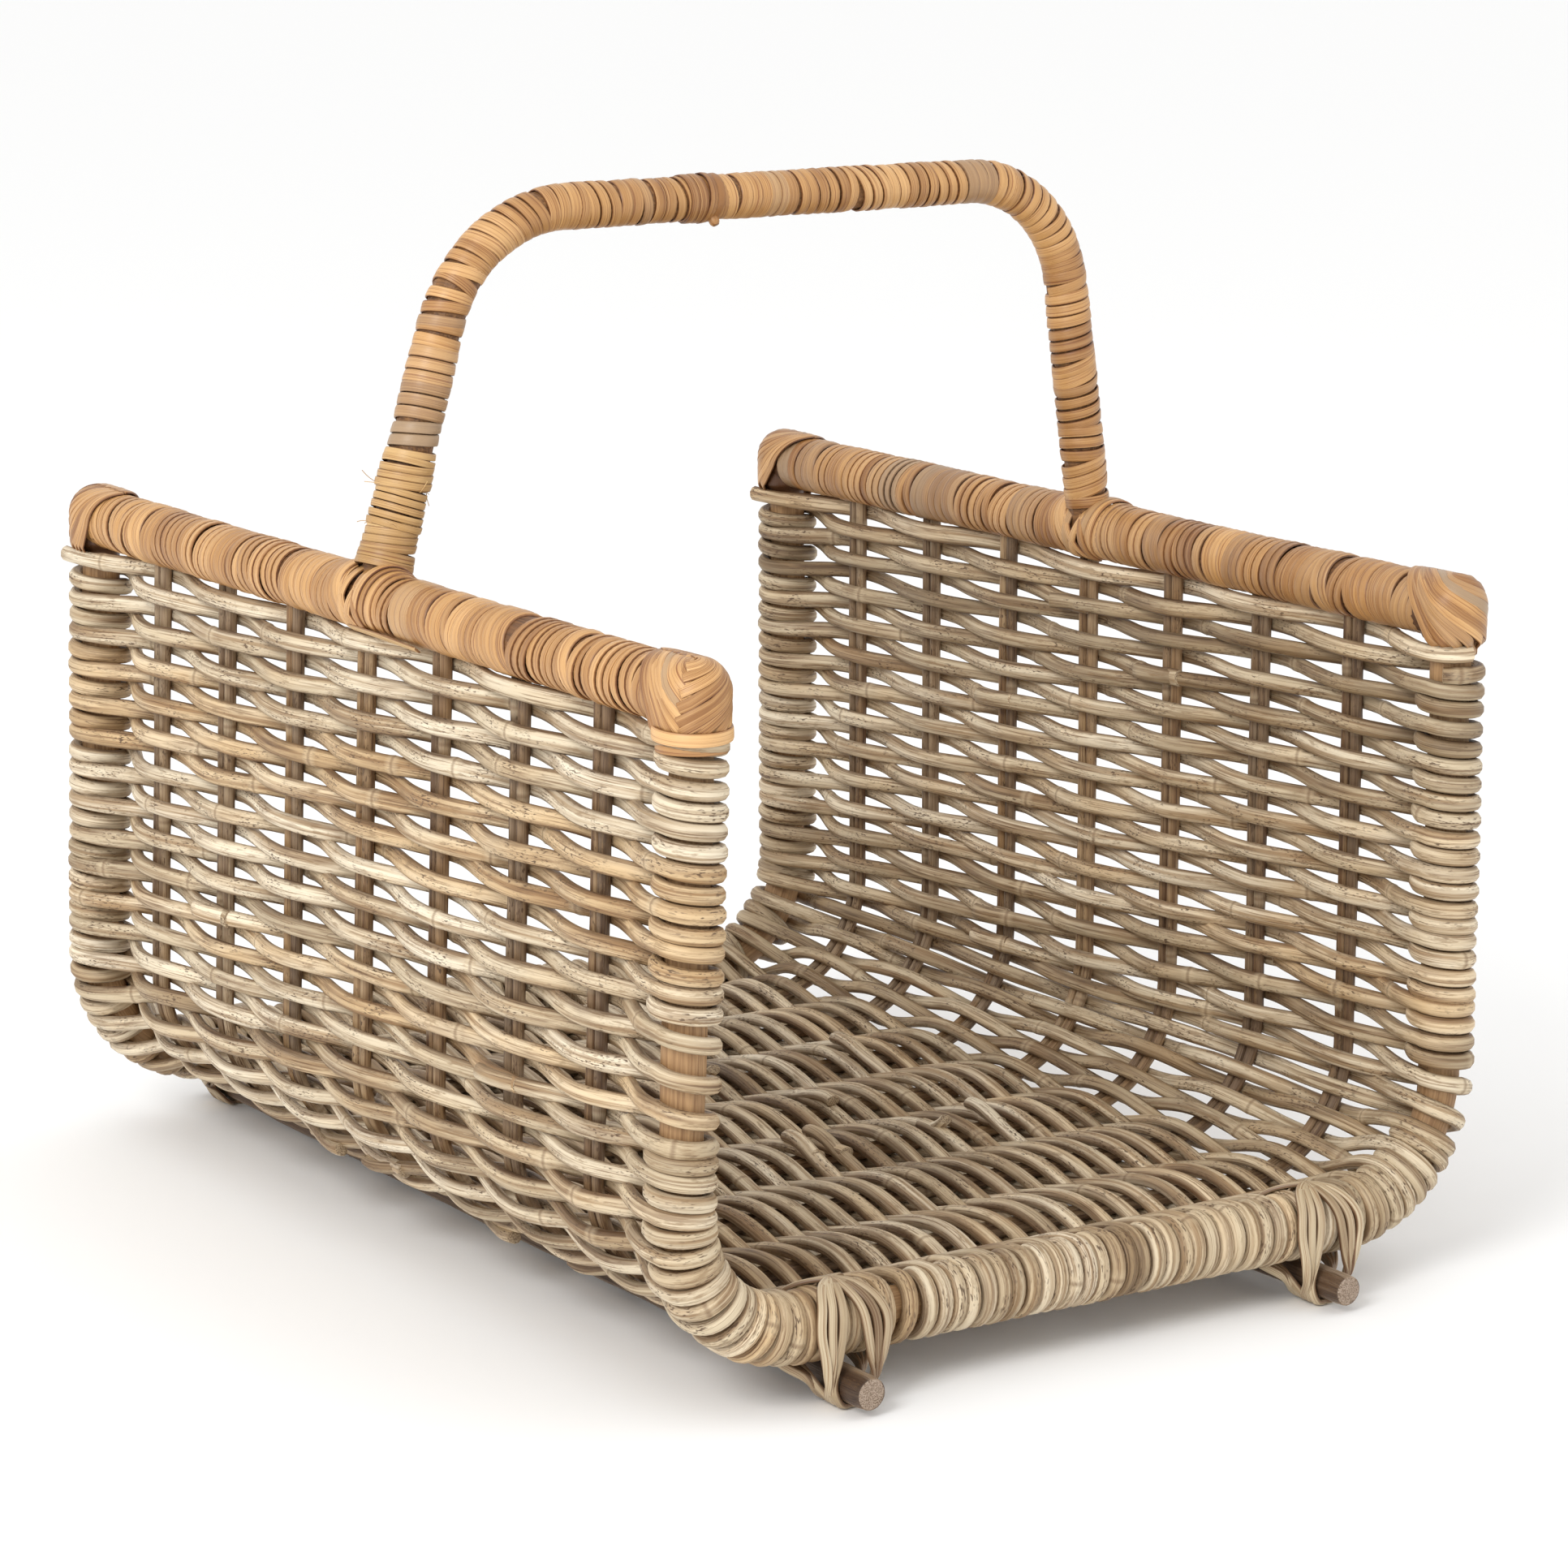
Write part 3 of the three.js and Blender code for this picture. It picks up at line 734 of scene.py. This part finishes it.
def make_stakes():
    line = SheetLine(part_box("stake_1_front")[1].z)
    s = np.linspace(0, line.length, int(line.length / (5 * MM)))
    for k in range(1, PAIRS + 1):
        for end in ("front", "rear"):
            node = f"stake_{k}_{end}"
            y = middle(node).y + wander(s, 0.35 * MM, 0.2)
            build = Build()
            tone = (rng.uniform(0, 0.8), rng.uniform(0.2, 0.9), 0)
            add_cane(build, line.place(s, y, wander(s, 0.2 * MM, 0.25)), tone, STAKE_R, sides=12)
            build.finish(node + "_cane", STAKE, [node], "stake")


def make_frame_poles():
    line = SheetLine(RAIL_Z - RAIL_R)
    s = np.linspace(0, line.length, 180)
    for end, y in (("front", -POLE_Y), ("rear", POLE_Y)):
        build = Build()
        points = line.place(s, y, np.zeros_like(s))
        add_cane(build, points, (0, 0.5, 0), POLE_R, sides=20, joints=False)
        build.finish(end + "_bent_pole", POLE, [end + "_frame_pole"], "pole")


# ---------------------------------------------------------------- peel wraps

PEEL_TONES = (0.25, 0.85)


def peel_tone(low=PEEL_TONES[0], high=PEEL_TONES[1], worn=0.0):
    """The tone of one strip, with its lightness between low and high. A few are greyer."""
    return (worn + rng.uniform(0.1, 0.5) + (rng.random() < 0.08) * 0.3, rng.uniform(low, high), 0)


def wind(build, start, end, surface, pitch, thickness, tones=PEEL_TONES, steps=28, lean=0.34):
    """Winds peel round a bar from place start to end. surface(u, angle) gives points and normals.

    steps is the number of points in a turn, and lean how far the turns slant, in pitches.
    """
    total = (end - start) / pitch
    turn = 0.0
    while turn < total - 0.3:
        length = min(rng.integers(1, 4), total - turn)
        t = np.linspace(turn, turn + length + 0.08, int(steps * length) + 3)
        angle = t * TAU
        slant = rng.normal(0, lean * pitch) * np.sin(angle + rng.uniform(-0.6, 0.6))
        slip = rng.uniform(-0.16, 0.16) * pitch
        u = np.clip(start + t * pitch + slip + slant, start - 0.6 * pitch, end + 0.6 * pitch)
        points, normals = surface(u, angle)
        lift = rng.uniform(0.0, 0.5) * thickness + wander(t, 0.08 * MM, 1.7)
        width = pitch * rng.uniform(0.86, 1.1)
        lap = rng.uniform(-0.7, 0.9) * thickness
        points = points + normals * lift[:, None]
        add_strip(build, points, normals, width, thickness, peel_tone(*tones), lap)
        turn += length


def foot_place(side):
    """Where a handle foot's middle meets its rail, along Y."""
    node = f"{side}_handle_joint_lashing"
    return middle(node).y


def rail_point(x, u, angle, radius):
    normals = joined(np.cos(angle), 0, np.sin(angle))
    return joined(x, u, RAIL_Z) + normals * np.broadcast_to(radius, angle.shape)[:, None], normals


def rail_surface(x, foot):
    """The rail's round surface. Over the top, the wraps are pushed aside by the handle's foot."""

    def surface(u, angle):
        away = u - foot
        on_top = ease((1 + np.sin(angle)) / 2)
        push = 9 * MM * np.exp(-np.abs(away) / (17 * MM)) * on_top
        saddle = 3 * MM * np.exp(-((away / (12 * MM)) ** 2)) * on_top**2
        return rail_point(x, u + np.sign(away) * push, angle, RAIL_R + saddle)

    return surface


def make_rails():
    for side, x in (("left", -RAIL_X), ("right", RAIL_X)):
        foot = foot_place(side)
        build = Build()
        y = np.linspace(-RAIL_END, RAIL_END, 140)
        taper = np.sqrt(np.clip(1 - ((np.abs(y) - (RAIL_END - 15 * MM)) / (15 * MM)).clip(0) ** 2, 0.02, 1))
        thick = (RAIL_R - 0.2 * MM) * taper
        add_cane(build, joined(x, y, RAIL_Z), (0, 0.5, 0), thick, sides=24, joints=False)
        build.finish(side + "_rail_pole", SHADED_UNDER_WRAP, [side + "_top_rail"], "pole")
        surface = rail_surface(x, foot)
        for part in ("front", "rear"):
            node = f"{side}_rail_{part}_wrap"
            low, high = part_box(node)
            front_end = low.y - (10 * MM if part == "front" else 0)
            rear_end = high.y + (10 * MM if part == "rear" else 0)
            build = Build()
            tones = (0.15, 0.75, 0.05) if side == "left" else (0.0, 0.6, 0.2)
            wind(build, front_end, rear_end, surface, 5.2 * MM, 1.15 * MM, tones)
            build.finish(node + "_peel", PEEL, [node], "peel")
        make_joint(side, x, foot, surface)


def make_joint(side, x, foot, surface):
    """Peel rings spread round the foot, with strips crossed over them on both faces of the rail."""
    build = Build()
    angle = np.linspace(-math.pi / 2 - 0.1, 1.5 * math.pi + 0.1, 44)
    for place in (-13.5, -8.5, -3.4, 3.4, 8.5, 13.5):
        u = foot + place * MM + rng.uniform(-0.4, 0.4) * MM + rng.normal(0, 0.5 * MM) * np.cos(angle)
        points, normals = surface(u, angle)
        lift = rng.uniform(0.1, 0.7) * MM
        tone = peel_tone()
        lap = rng.uniform(-0.5, 0.5) * MM
        add_strip(build, points + normals * lift, normals, 5.6 * MM, 1.1 * MM, tone, lap)
    crossings = ((-9, 5, 0.1), (9, -3, 0.3), (3, 6.5, 0.7 if side == "right" else 0.2), (-4.5, -8, 0.3))
    for face in (0, 1):
        for top, bottom, worn in crossings:
            t = np.linspace(0, 1, 22)
            turned = math.radians(74) - math.radians(150) * t
            turned = math.pi - turned if face else turned
            u = foot + (top + (bottom - top) * ease(t)) * MM
            points, normals = rail_point(x, u, turned, RAIL_R + 1.7 * MM)
            tone = (worn, rng.uniform(0.3, 0.9), 0)
            add_strip(build, points, normals, 4.2 * MM, 1.0 * MM, tone, 0.2 * MM)
    build.finish(f"{side}_joint_peel", PEEL, [f"{side}_handle_joint_lashing"], "peel")


def make_loose_strip():
    """A pale end of peel tucked under the left rail beside the handle."""
    build = Build()
    t = np.linspace(0, 1, 16)
    y = foot_place("left") + (4 - 56 * t) * MM
    angle = math.pi + math.radians(52) - 0.06 * np.sin(math.pi * t)
    points, normals = rail_point(-RAIL_X, y, angle, RAIL_R + (2.2 + 1.2 * t) * MM)
    add_strip(build, points, normals, (5.0 - 1.0 * t) * MM, 1.0 * MM, (0, 0.85, 0))
    build.finish("left_loose_peel_end", STRAW, (), "straw_peel")


# ---------------------------------------------------------------- rail caps

CAP_R = 13.3 * MM
CAP_SEAM = math.radians(40)
CAP_TOP = CAP_R * math.pi / 2
# Each strip's height at the seam, and the place along Y where it reaches the ridge.
CAP_STRIPS = ((-50, 228), (-39, 228.5), (-30, 229), (-22, 230), (-15, 231), (-10, 232.5))
CAP_STRIPS += ((-5.5, 236.5), (-0.5, 241), (4.5, 245.5), (9.5, 250), (14, 253))
# Each band's height, radius, tilt and lightness, on the front left cap.
CAP_BANDS = ((280.3, 14.9, 0.8, 1.0), (275.2, 13.2, -0.6, 0.15))
CAP_END = 18.8 * MM
BANDED_CAP_END = 14.5 * MM


def cap_surface(x, outer, end, a, height):
    """Points on the cap, and their normals.

    a is the length round it, 0 at the seam and growing towards the outer side, and height the
    length up its surface, 0 at the rail's axis and CAP_TOP on the ridge.
    outer is the sign of X that points out of the basket, and end the sign of Y of this end.
    """
    azimuth = CAP_SEAM + a / CAP_R
    straight = np.maximum(azimuth - math.pi / 2, 0) - np.maximum(-azimuth - math.pi / 2, 0)
    azimuth = np.clip(azimuth, -math.pi / 2, math.pi / 2)
    back = np.abs(straight) * CAP_R
    tilt = np.clip(height, 0, None) / CAP_TOP * math.pi / 2
    level = np.cos(tilt) ** 0.8
    rise = np.sin(tilt) ** 0.9
    side = np.sin(azimuth) * level
    front = np.cos(azimuth) * level
    below = np.minimum(height, 0)
    normals = joined(outer * side, end * front, rise)
    centre = joined(x, end * (POLE_Y - back), RAIL_Z + below)
    return centre + normals * CAP_R, unit(normals)


def cap_tuck(height):
    """How far the lower ends of the cap's strips sink in to pass behind the first weaver."""
    return 3.6 * MM * ease((-height - 11 * MM) / (5 * MM))


def cap_arm(build, x, outer, end, low, ridge_y, towards, layer, bottom, worn):
    """One strip of the herringbone, from the seam or the cap's bottom, up and over to the ridge.

    layer lifts it over the strips laid before it.
    """
    to_side = math.pi / 2 - CAP_SEAM * towards
    length = CAP_R * to_side + (POLE_Y - ridge_y)
    t = np.linspace(max(-0.09, (bottom - low) / (CAP_TOP - low)), 1, 42)
    a = towards * length * t
    height = low + (CAP_TOP - low) * t
    points, normals = cap_surface(x, outer, end, a, np.minimum(height, CAP_TOP))
    lift = (0.1 + 0.4 * layer + 0.2 * t) * MM - cap_tuck(height)
    tone = peel_tone(0.15 - 1.6 * worn, 0.8 - 0.6 * worn, worn)
    width = rng.uniform(4.2, 5.5) * MM
    lap = rng.uniform(-0.3, 0.6) * MM
    add_strip(build, points + normals * lift[:, None], normals, width, 1.0 * MM, tone, lap)


def cap_core(build, x, outer, end):
    """The core under the cap's strips, round the rail's end and the frame pole's top, darkened as painted
    shade for the gaps between them.
    """
    y = np.linspace(POLE_Y - 14 * MM, POLE_Y + 12.2 * MM, 24)
    taper = np.sqrt(np.clip(1 - ((y - POLE_Y).clip(0) / (12.6 * MM)) ** 2, 0.03, 1))
    axis = joined(x, end * y, RAIL_Z)
    add_cane(build, axis, (0, 0.1, 1), (CAP_R - 0.4 * MM) * taper, sides=20, joints=False)
    z = np.linspace(RAIL_Z - 20 * MM, RAIL_Z + 13.4 * MM, 30)
    taper = np.clip(1 - ((z - RAIL_Z).clip(0) / (13.5 * MM)) ** 2.8, 0.02, 1) ** (1 / 2.2)
    post = joined(pole_x(x, outer, z), end * POLE_Y, z)
    thick = (CAP_R - 0.7 * MM) * taper - cap_tuck(z - RAIL_Z)
    add_cane(build, post, (0, 0.1, 1), thick, sides=20, joints=False)


def pole_x(x, outer, z):
    """Where the leaning frame pole is at height z, below a rail at x."""
    return x + outer * np.clip(RAIL_Z - z, 0, None) * (WALL_FOOT_X - RAIL_X) / (RAIL_Z - FLOOR_Z)


def cap_band(build, x, outer, end, z, radius, tilt, lightness):
    """A ring of peel round the bottom of a cap."""
    angle = np.linspace(0, TAU + 0.2, 40)
    level = (z + tilt * np.sin(angle + 0.5)) * MM
    normals = joined(np.cos(angle), np.sin(angle), 0)
    centre = joined(pole_x(x, outer, z * MM), end * POLE_Y, level)
    tone = (0, lightness, 0)
    add_strip(build, centre + normals * radius * MM, normals, 5.6 * MM, 1.1 * MM, tone, 0.2 * MM)


def make_cap(end_name, end, side_name, outer):
    x = outer * RAIL_X
    banded = (end_name, side_name) == ("front", "left")
    bottom = -BANDED_CAP_END if banded else -CAP_END
    worn = 0.05 if outer < 0 else 0.25
    build = Build()
    cap_core(build, x, outer, end)
    for n, (low, ridge) in enumerate(CAP_STRIPS):
        for towards in (1, -1):
            layer = (1 if towards < 0 else 0) + 0.12 * n
            cap_arm(build, x, outer, end, low * MM, ridge * MM, towards, layer, bottom, worn)
    if banded:
        for band in CAP_BANDS:
            cap_band(build, x, outer, end, *band)
    node = f"{end_name}_{side_name}_rail_cap"
    build.finish(node + "_peel", PEEL, [node], "peel")


def make_caps():
    for end_name, end in (("front", -1), ("rear", 1)):
        for side_name, outer in (("left", -1), ("right", 1)):
            make_cap(end_name, end, side_name, outer)


# ---------------------------------------------------------------- handle

def rounded_line(corners, radii, step):
    """Points in a plane along straight runs joined by round bends, evenly spaced."""
    points = [corners[0]]
    for i, radius in enumerate(radii, 1):
        before = unit(corners[i] - corners[i - 1])
        after = unit(corners[i + 1] - corners[i])
        turn = math.acos(np.clip(before @ after, -1, 1))
        inward = unit(after - before * (after @ before))
        start = corners[i] - before * radius * math.tan(turn / 2)
        for angle in np.linspace(0, turn, 24):
            turned = before * math.sin(angle) + inward * (1 - math.cos(angle))
            points.append(start + radius * turned)
    points.append(corners[-1])
    points = np.array(points)
    along = lengths_along(points)
    even = np.arange(0, along[-1], step)
    return joined(*(np.interp(even, along, part) for part in points.T))


LEG_TONES = {"left_leg": (0.2, 0.8, 0.25), "right_leg": (0.0, 0.6, 0.1)}
TOP_TONES = (0.15, 0.75, 0.0)
HANDLE_PITCH = 5.4 * MM
SPLICE_X = -32 * MM
# Where each sleeve of the left foot starts and ends, as parts of its length.
FOOT_SLEEVES = ((0.66, 1.0), (0.33, 0.74), (0.0, 0.4))


class HandleLine:
    """The line of the bent handle, from its left foot to its right one."""

    def __init__(self):
        self.step = 1 * MM
        flat = rounded_line(HANDLE_CORNERS, HANDLE_BENDS, self.step)
        cos, sin = math.cos(HANDLE_TWIST), math.sin(HANDLE_TWIST)
        middle_y = middle("handle_pole").y
        self.points = joined(flat[:, 0] * cos, middle_y + flat[:, 0] * sin, flat[:, 1])
        self.tangents = unit(np.gradient(self.points, axis=0))
        self.side = np.array([-sin, cos, 0])

    def at(self, u):
        index = np.clip(u / self.step, 0, len(self.points) - 1)
        every = np.arange(len(self.points))
        point = joined(*(np.interp(index, every, part) for part in self.points.T))
        tangent = joined(*(np.interp(index, every, part) for part in self.tangents.T))
        return point, unit(tangent)

    def surface(self, u, angle):
        point, tangent = self.at(u)
        up = np.cross(tangent, self.side)
        normals = self.side * np.cos(angle)[:, None] + up * np.sin(angle)[:, None]
        ridged = (np.abs(np.cos(angle)) ** 1.8 + np.abs(np.sin(angle)) ** 1.8) ** (-1 / 1.8)
        spread = 1 + 0.16 * np.exp(-u / (22 * MM))
        stout = 0.8 * MM * ease((RAIL_Z + 135 * MM - point[:, 2]) / (60 * MM))
        return point + normals * ((HANDLE_R + stout) * ridged * spread)[:, None], normals

    def where_z(self, z, right=False):
        """Length along the handle where a leg passes height z."""
        half = len(self.points) // 2
        if right:
            return (half + np.argmin(np.abs(self.points[half:, 2] - z))) * self.step
        return np.argmin(np.abs(self.points[:half, 2] - z)) * self.step

    def where_x(self, x):
        return np.argmin(np.abs(self.points[:, 0] - x)) * self.step


def make_handle():
    line = HandleLine()
    foot_z = RAIL_Z + 13.5 * MM
    stops = [
        line.where_z(foot_z),
        line.where_z(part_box("handle_left_foot_wrap")[1].z),
        line.where_z(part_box("handle_left_leg_wrap")[1].z),
        line.where_x(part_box("handle_grip_wrap")[0].x),
        line.where_x(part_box("handle_grip_wrap")[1].x),
        line.where_z(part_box("handle_right_leg_wrap")[1].z, True),
        line.where_z(foot_z, True),
    ]
    parts = ("left_foot", "left_leg", "left_shoulder", "grip", "right_shoulder", "right_leg")
    for part, start, end in zip(parts, stops, stops[1:]):
        node = f"handle_{part}_wrap"
        build = Build()
        if part == "left_foot":
            make_foot(build, line, start, end)
            build.finish(node + "_peel", STRAW, [node], "straw_peel")
        else:
            tones = LEG_TONES.get(part, TOP_TONES)
            wind(build, start, end, line.surface, HANDLE_PITCH, 0.9 * MM, tones, 24, 0.2)
            if part == "grip":
                make_splice(build, line)
            build.finish(node + "_peel", PEEL, [node], "peel")


def make_splice(build, line):
    """Dark turns over the place where two lengths of peel meet, and the tucked end under them."""
    place = line.where_x(SPLICE_X)

    def raised(u, angle):
        points, normals = line.surface(u, angle)
        return points + normals * 0.7 * MM, normals

    wind(build, place - 9 * MM, place + 9 * MM, raised, 4.4 * MM, 0.9 * MM, (-0.35, 0.2, 0.1), 24, 0.35)
    point, _ = line.at(np.array([place + 3 * MM]))
    drop = np.linspace(HANDLE_R, HANDLE_R + 4.2 * MM, 6)
    peg = point + joined(0.2 * drop, -0.5 * drop, -0.85 * drop)
    add_cane(build, peg, (0, 0.3, 0), 2.3 * MM * np.array([1, 1, 1, 1, 0.95, 0.7]), sides=10, joints=False)


def add_fibre(build, start, heading, length, tone):
    """A hair-thin fibre that has come loose."""
    t = np.linspace(0, 1, 8)[:, None]
    bend = unit(rng.normal(0, 1, 3)) * length * 0.4
    add_cane(build, start + heading * length * t + bend * t**2, tone, 0.17 * MM, sides=5, joints=False)


def make_foot(build, line, start, end):
    """Three sleeves of fine peel, each flared over the one below it."""
    length = end - start
    for first, last in FOOT_SLEEVES:
        low = start + first * length
        high = start + last * length

        def flared(u, angle):
            points, normals = line.surface(u, angle)
            lift = 0.6 * MM + 1.2 * MM * (1 - (u - low) / (high - low))
            return points + normals * lift[:, None], normals

        wind(build, low, high, flared, 3.4 * MM, 0.55 * MM, (0.2, 0.95), 24, 0.2)
        for _ in range(5):
            points, normals = flared(np.array([low]), np.array([rng.uniform(0, TAU)]))
            heading = unit(normals[0] + rng.normal(0, 0.8, 3))
            add_fibre(build, points[0], heading, rng.uniform(2.5, 7) * MM, (0, 0.9, 0))


# ---------------------------------------------------------------- runners

def make_runners():
    for side in ("left", "right"):
        node = side + "_runner"
        x, _, z = middle(node)
        low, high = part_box(node)
        radius = (high.x - low.x) / 2
        y = np.linspace(low.y, high.y, 130)
        points = joined(x + wander(y, 0.5 * MM, 0.4), y, z + wander(y, 0.3 * MM, 0.4))
        ends = np.minimum(np.abs(y - low.y), np.abs(high.y - y))
        rounded = 1 - 0.06 * np.exp(-ends / (1.2 * MM))
        build = Build()
        add_cane(build, points, (0.3, 0.45, 0), radius * 0.98 * rounded, sides=24, joints=False)
        build.finish(node + "_pole", RUNNER, [node], "runner")
        for end_name, end in (("front", -1), ("rear", 1)):
            make_lashing(end_name, end, side, x, z, radius)


def make_lashing(end_name, end, side, x, runner_z, runner_r):
    """Split cane looped over the border and under the runner, crossing on the border and below."""
    bead = POLE_R + 2 * CANE_DEEP + 0.9 * MM
    low = runner_z - runner_r - 0.9 * MM
    build = Build()
    for hand in (1, -1):
        for strand in (0, 1, 2):
            spread = (2.2 + 4.8 * strand) * MM
            wide = runner_r + (1.4 + 1.0 * strand) * MM
            knots = [
                (hand * spread * 0.6, 0.25 * bead, FLOOR_Z + bead * 0.99),
                (hand * (spread + 2 * MM), 0.85 * bead, FLOOR_Z + bead * 0.6),
                (hand * (spread + 4 * MM), 1.05 * bead, FLOOR_Z - 1 * MM),
                (hand * (wide + 0.4 * MM), 1.02 * bead, runner_z + 3 * MM),
                (hand * runner_r * 0.75, 0.95 * bead - strand * 3.6 * MM, low + 1.5 * MM),
                (0, 0.86 * bead - strand * 3.8 * MM, low),
                (-hand * runner_r * 0.75, 0.6 * bead - strand * 4 * MM, low + 1.5 * MM),
                (-hand * (wide + 3 * MM), 0.2 * bead, runner_z + 2 * MM),
                (-hand * (spread + 9 * MM), -0.5 * bead, FLOOR_Z - bead * 0.9),
                (-hand * (spread + 6 * MM), -1.03 * bead, FLOOR_Z),
                (-hand * (spread + 2 * MM), -0.8 * bead, FLOOR_Z + bead * 0.66),
                (-hand * spread * 0.4, -0.3 * bead, FLOOR_Z + bead * 0.99),
            ]
            points = smooth_line(knots, 110, closed=True)
            points = joined(x + points[:, 0], end * (POLE_Y + points[:, 1]), points[:, 2])
            middle_z = np.clip(points[:, 2], runner_z, FLOOR_Z)
            hub = joined(x, end * POLE_Y, middle_z)
            on_bead = ease((points[:, 2] - runner_z) / (18 * MM))[:, None]
            weights = [1 - 0.85 * on_bead, 0.15 + 0.85 * on_bead, np.ones_like(on_bead)]
            outward = (points - hub) * np.concatenate(weights, 1)
            tone = (rng.uniform(0, 0.3), rng.uniform(0.25, 0.9), 0)
            add_strip(build, points, unit(outward), 4.1 * MM, 2.0 * MM, tone)
    node = f"{end_name}_{side}_runner_lashing"
    build.finish(node + "_cane", LASH, [node], "lashing")


# ---------------------------------------------------------------- stage

CAMERA_PLACE = (-1.18644, -1.75397, 0.61322 + FLOOR_Z)
CAMERA_YAW = math.radians(34.5596)
CAMERA_PITCH = math.radians(-12.0896)
CAMERA_ROLL = math.radians(0.83824)
CAMERA_LENS = 110.74
SENSOR_WIDTH = 36
FLOOR_HALF = 30
LIGHT_TARGET = (0, 0, 0.2)


def make_camera():
    level = math.cos(CAMERA_PITCH)
    forward = Vector((math.sin(CAMERA_YAW) * level, math.cos(CAMERA_YAW) * level, math.sin(CAMERA_PITCH)))
    right = Vector((math.cos(CAMERA_YAW), -math.sin(CAMERA_YAW), 0))
    up = right.cross(forward)
    cos, sin = math.cos(CAMERA_ROLL), math.sin(CAMERA_ROLL)
    turn = Matrix((right * cos + up * sin, up * cos - right * sin, -forward)).transposed().to_4x4()
    data = bpy.data.cameras.new("camera")
    data.lens = CAMERA_LENS
    data.sensor_width = SENSOR_WIDTH
    camera = bpy.data.objects.new("camera", data)
    camera.matrix_world = Matrix.Translation(CAMERA_PLACE) @ turn
    bpy.context.scene.collection.objects.link(camera)
    bpy.context.scene.camera = camera


def add_light(name, place, size, power):
    data = bpy.data.lights.new(name, "AREA")
    data.shape = "DISK"
    data.size = size
    data.energy = power
    light = bpy.data.objects.new(name, data)
    light.location = place
    light.rotation_euler = (Vector(LIGHT_TARGET) - Vector(place)).to_track_quat("-Z", "Y").to_euler()
    bpy.context.scene.collection.objects.link(light)


def make_floor():
    mesh = bpy.data.meshes.new("floor")
    corners = [(x * FLOOR_HALF, y * FLOOR_HALF, 0) for x, y in ((-1, -1), (1, -1), (1, 1), (-1, 1))]
    mesh.from_pydata(corners, [], [(0, 1, 2, 3)])
    floor = bpy.data.objects.new("floor", mesh)
    m = Shader("pale_floor", 0.9)
    m.surface.inputs["Base Color"].default_value = (0.97, 0.97, 0.965, 1)
    mesh.materials.append(m.material)
    bpy.context.scene.collection.objects.link(floor)


def make_light():
    world = bpy.data.worlds.new("world")
    world.use_nodes = True
    background = world.node_tree.nodes["Background"]
    background.inputs["Color"].default_value = (1, 1, 1, 1)
    background.inputs["Strength"].default_value = 1.0
    bpy.context.scene.world = world
    add_light("key", (-2.4, -1.3, 1.9), 1.3, 44)
    add_light("fill", (2.2, -1.6, 1.5), 2.0, 3)
    bpy.context.scene.view_settings.view_transform = "Standard"


def finish_hidden_nodes():
    """The inner pieces keep their CAD shape and get their material."""
    for name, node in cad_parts.items():
        if node.hide_render:
            continue
        node.data.materials.clear()
        node.data.materials.append(NAIL if name.endswith(("_nail", "_pin")) else HIDDEN)


make_camera()
make_floor()
make_light()
make_weave()
make_stakes()
make_frame_poles()
make_rails()
make_loose_strip()
make_caps()
make_handle()
make_runners()
finish_hidden_nodes()
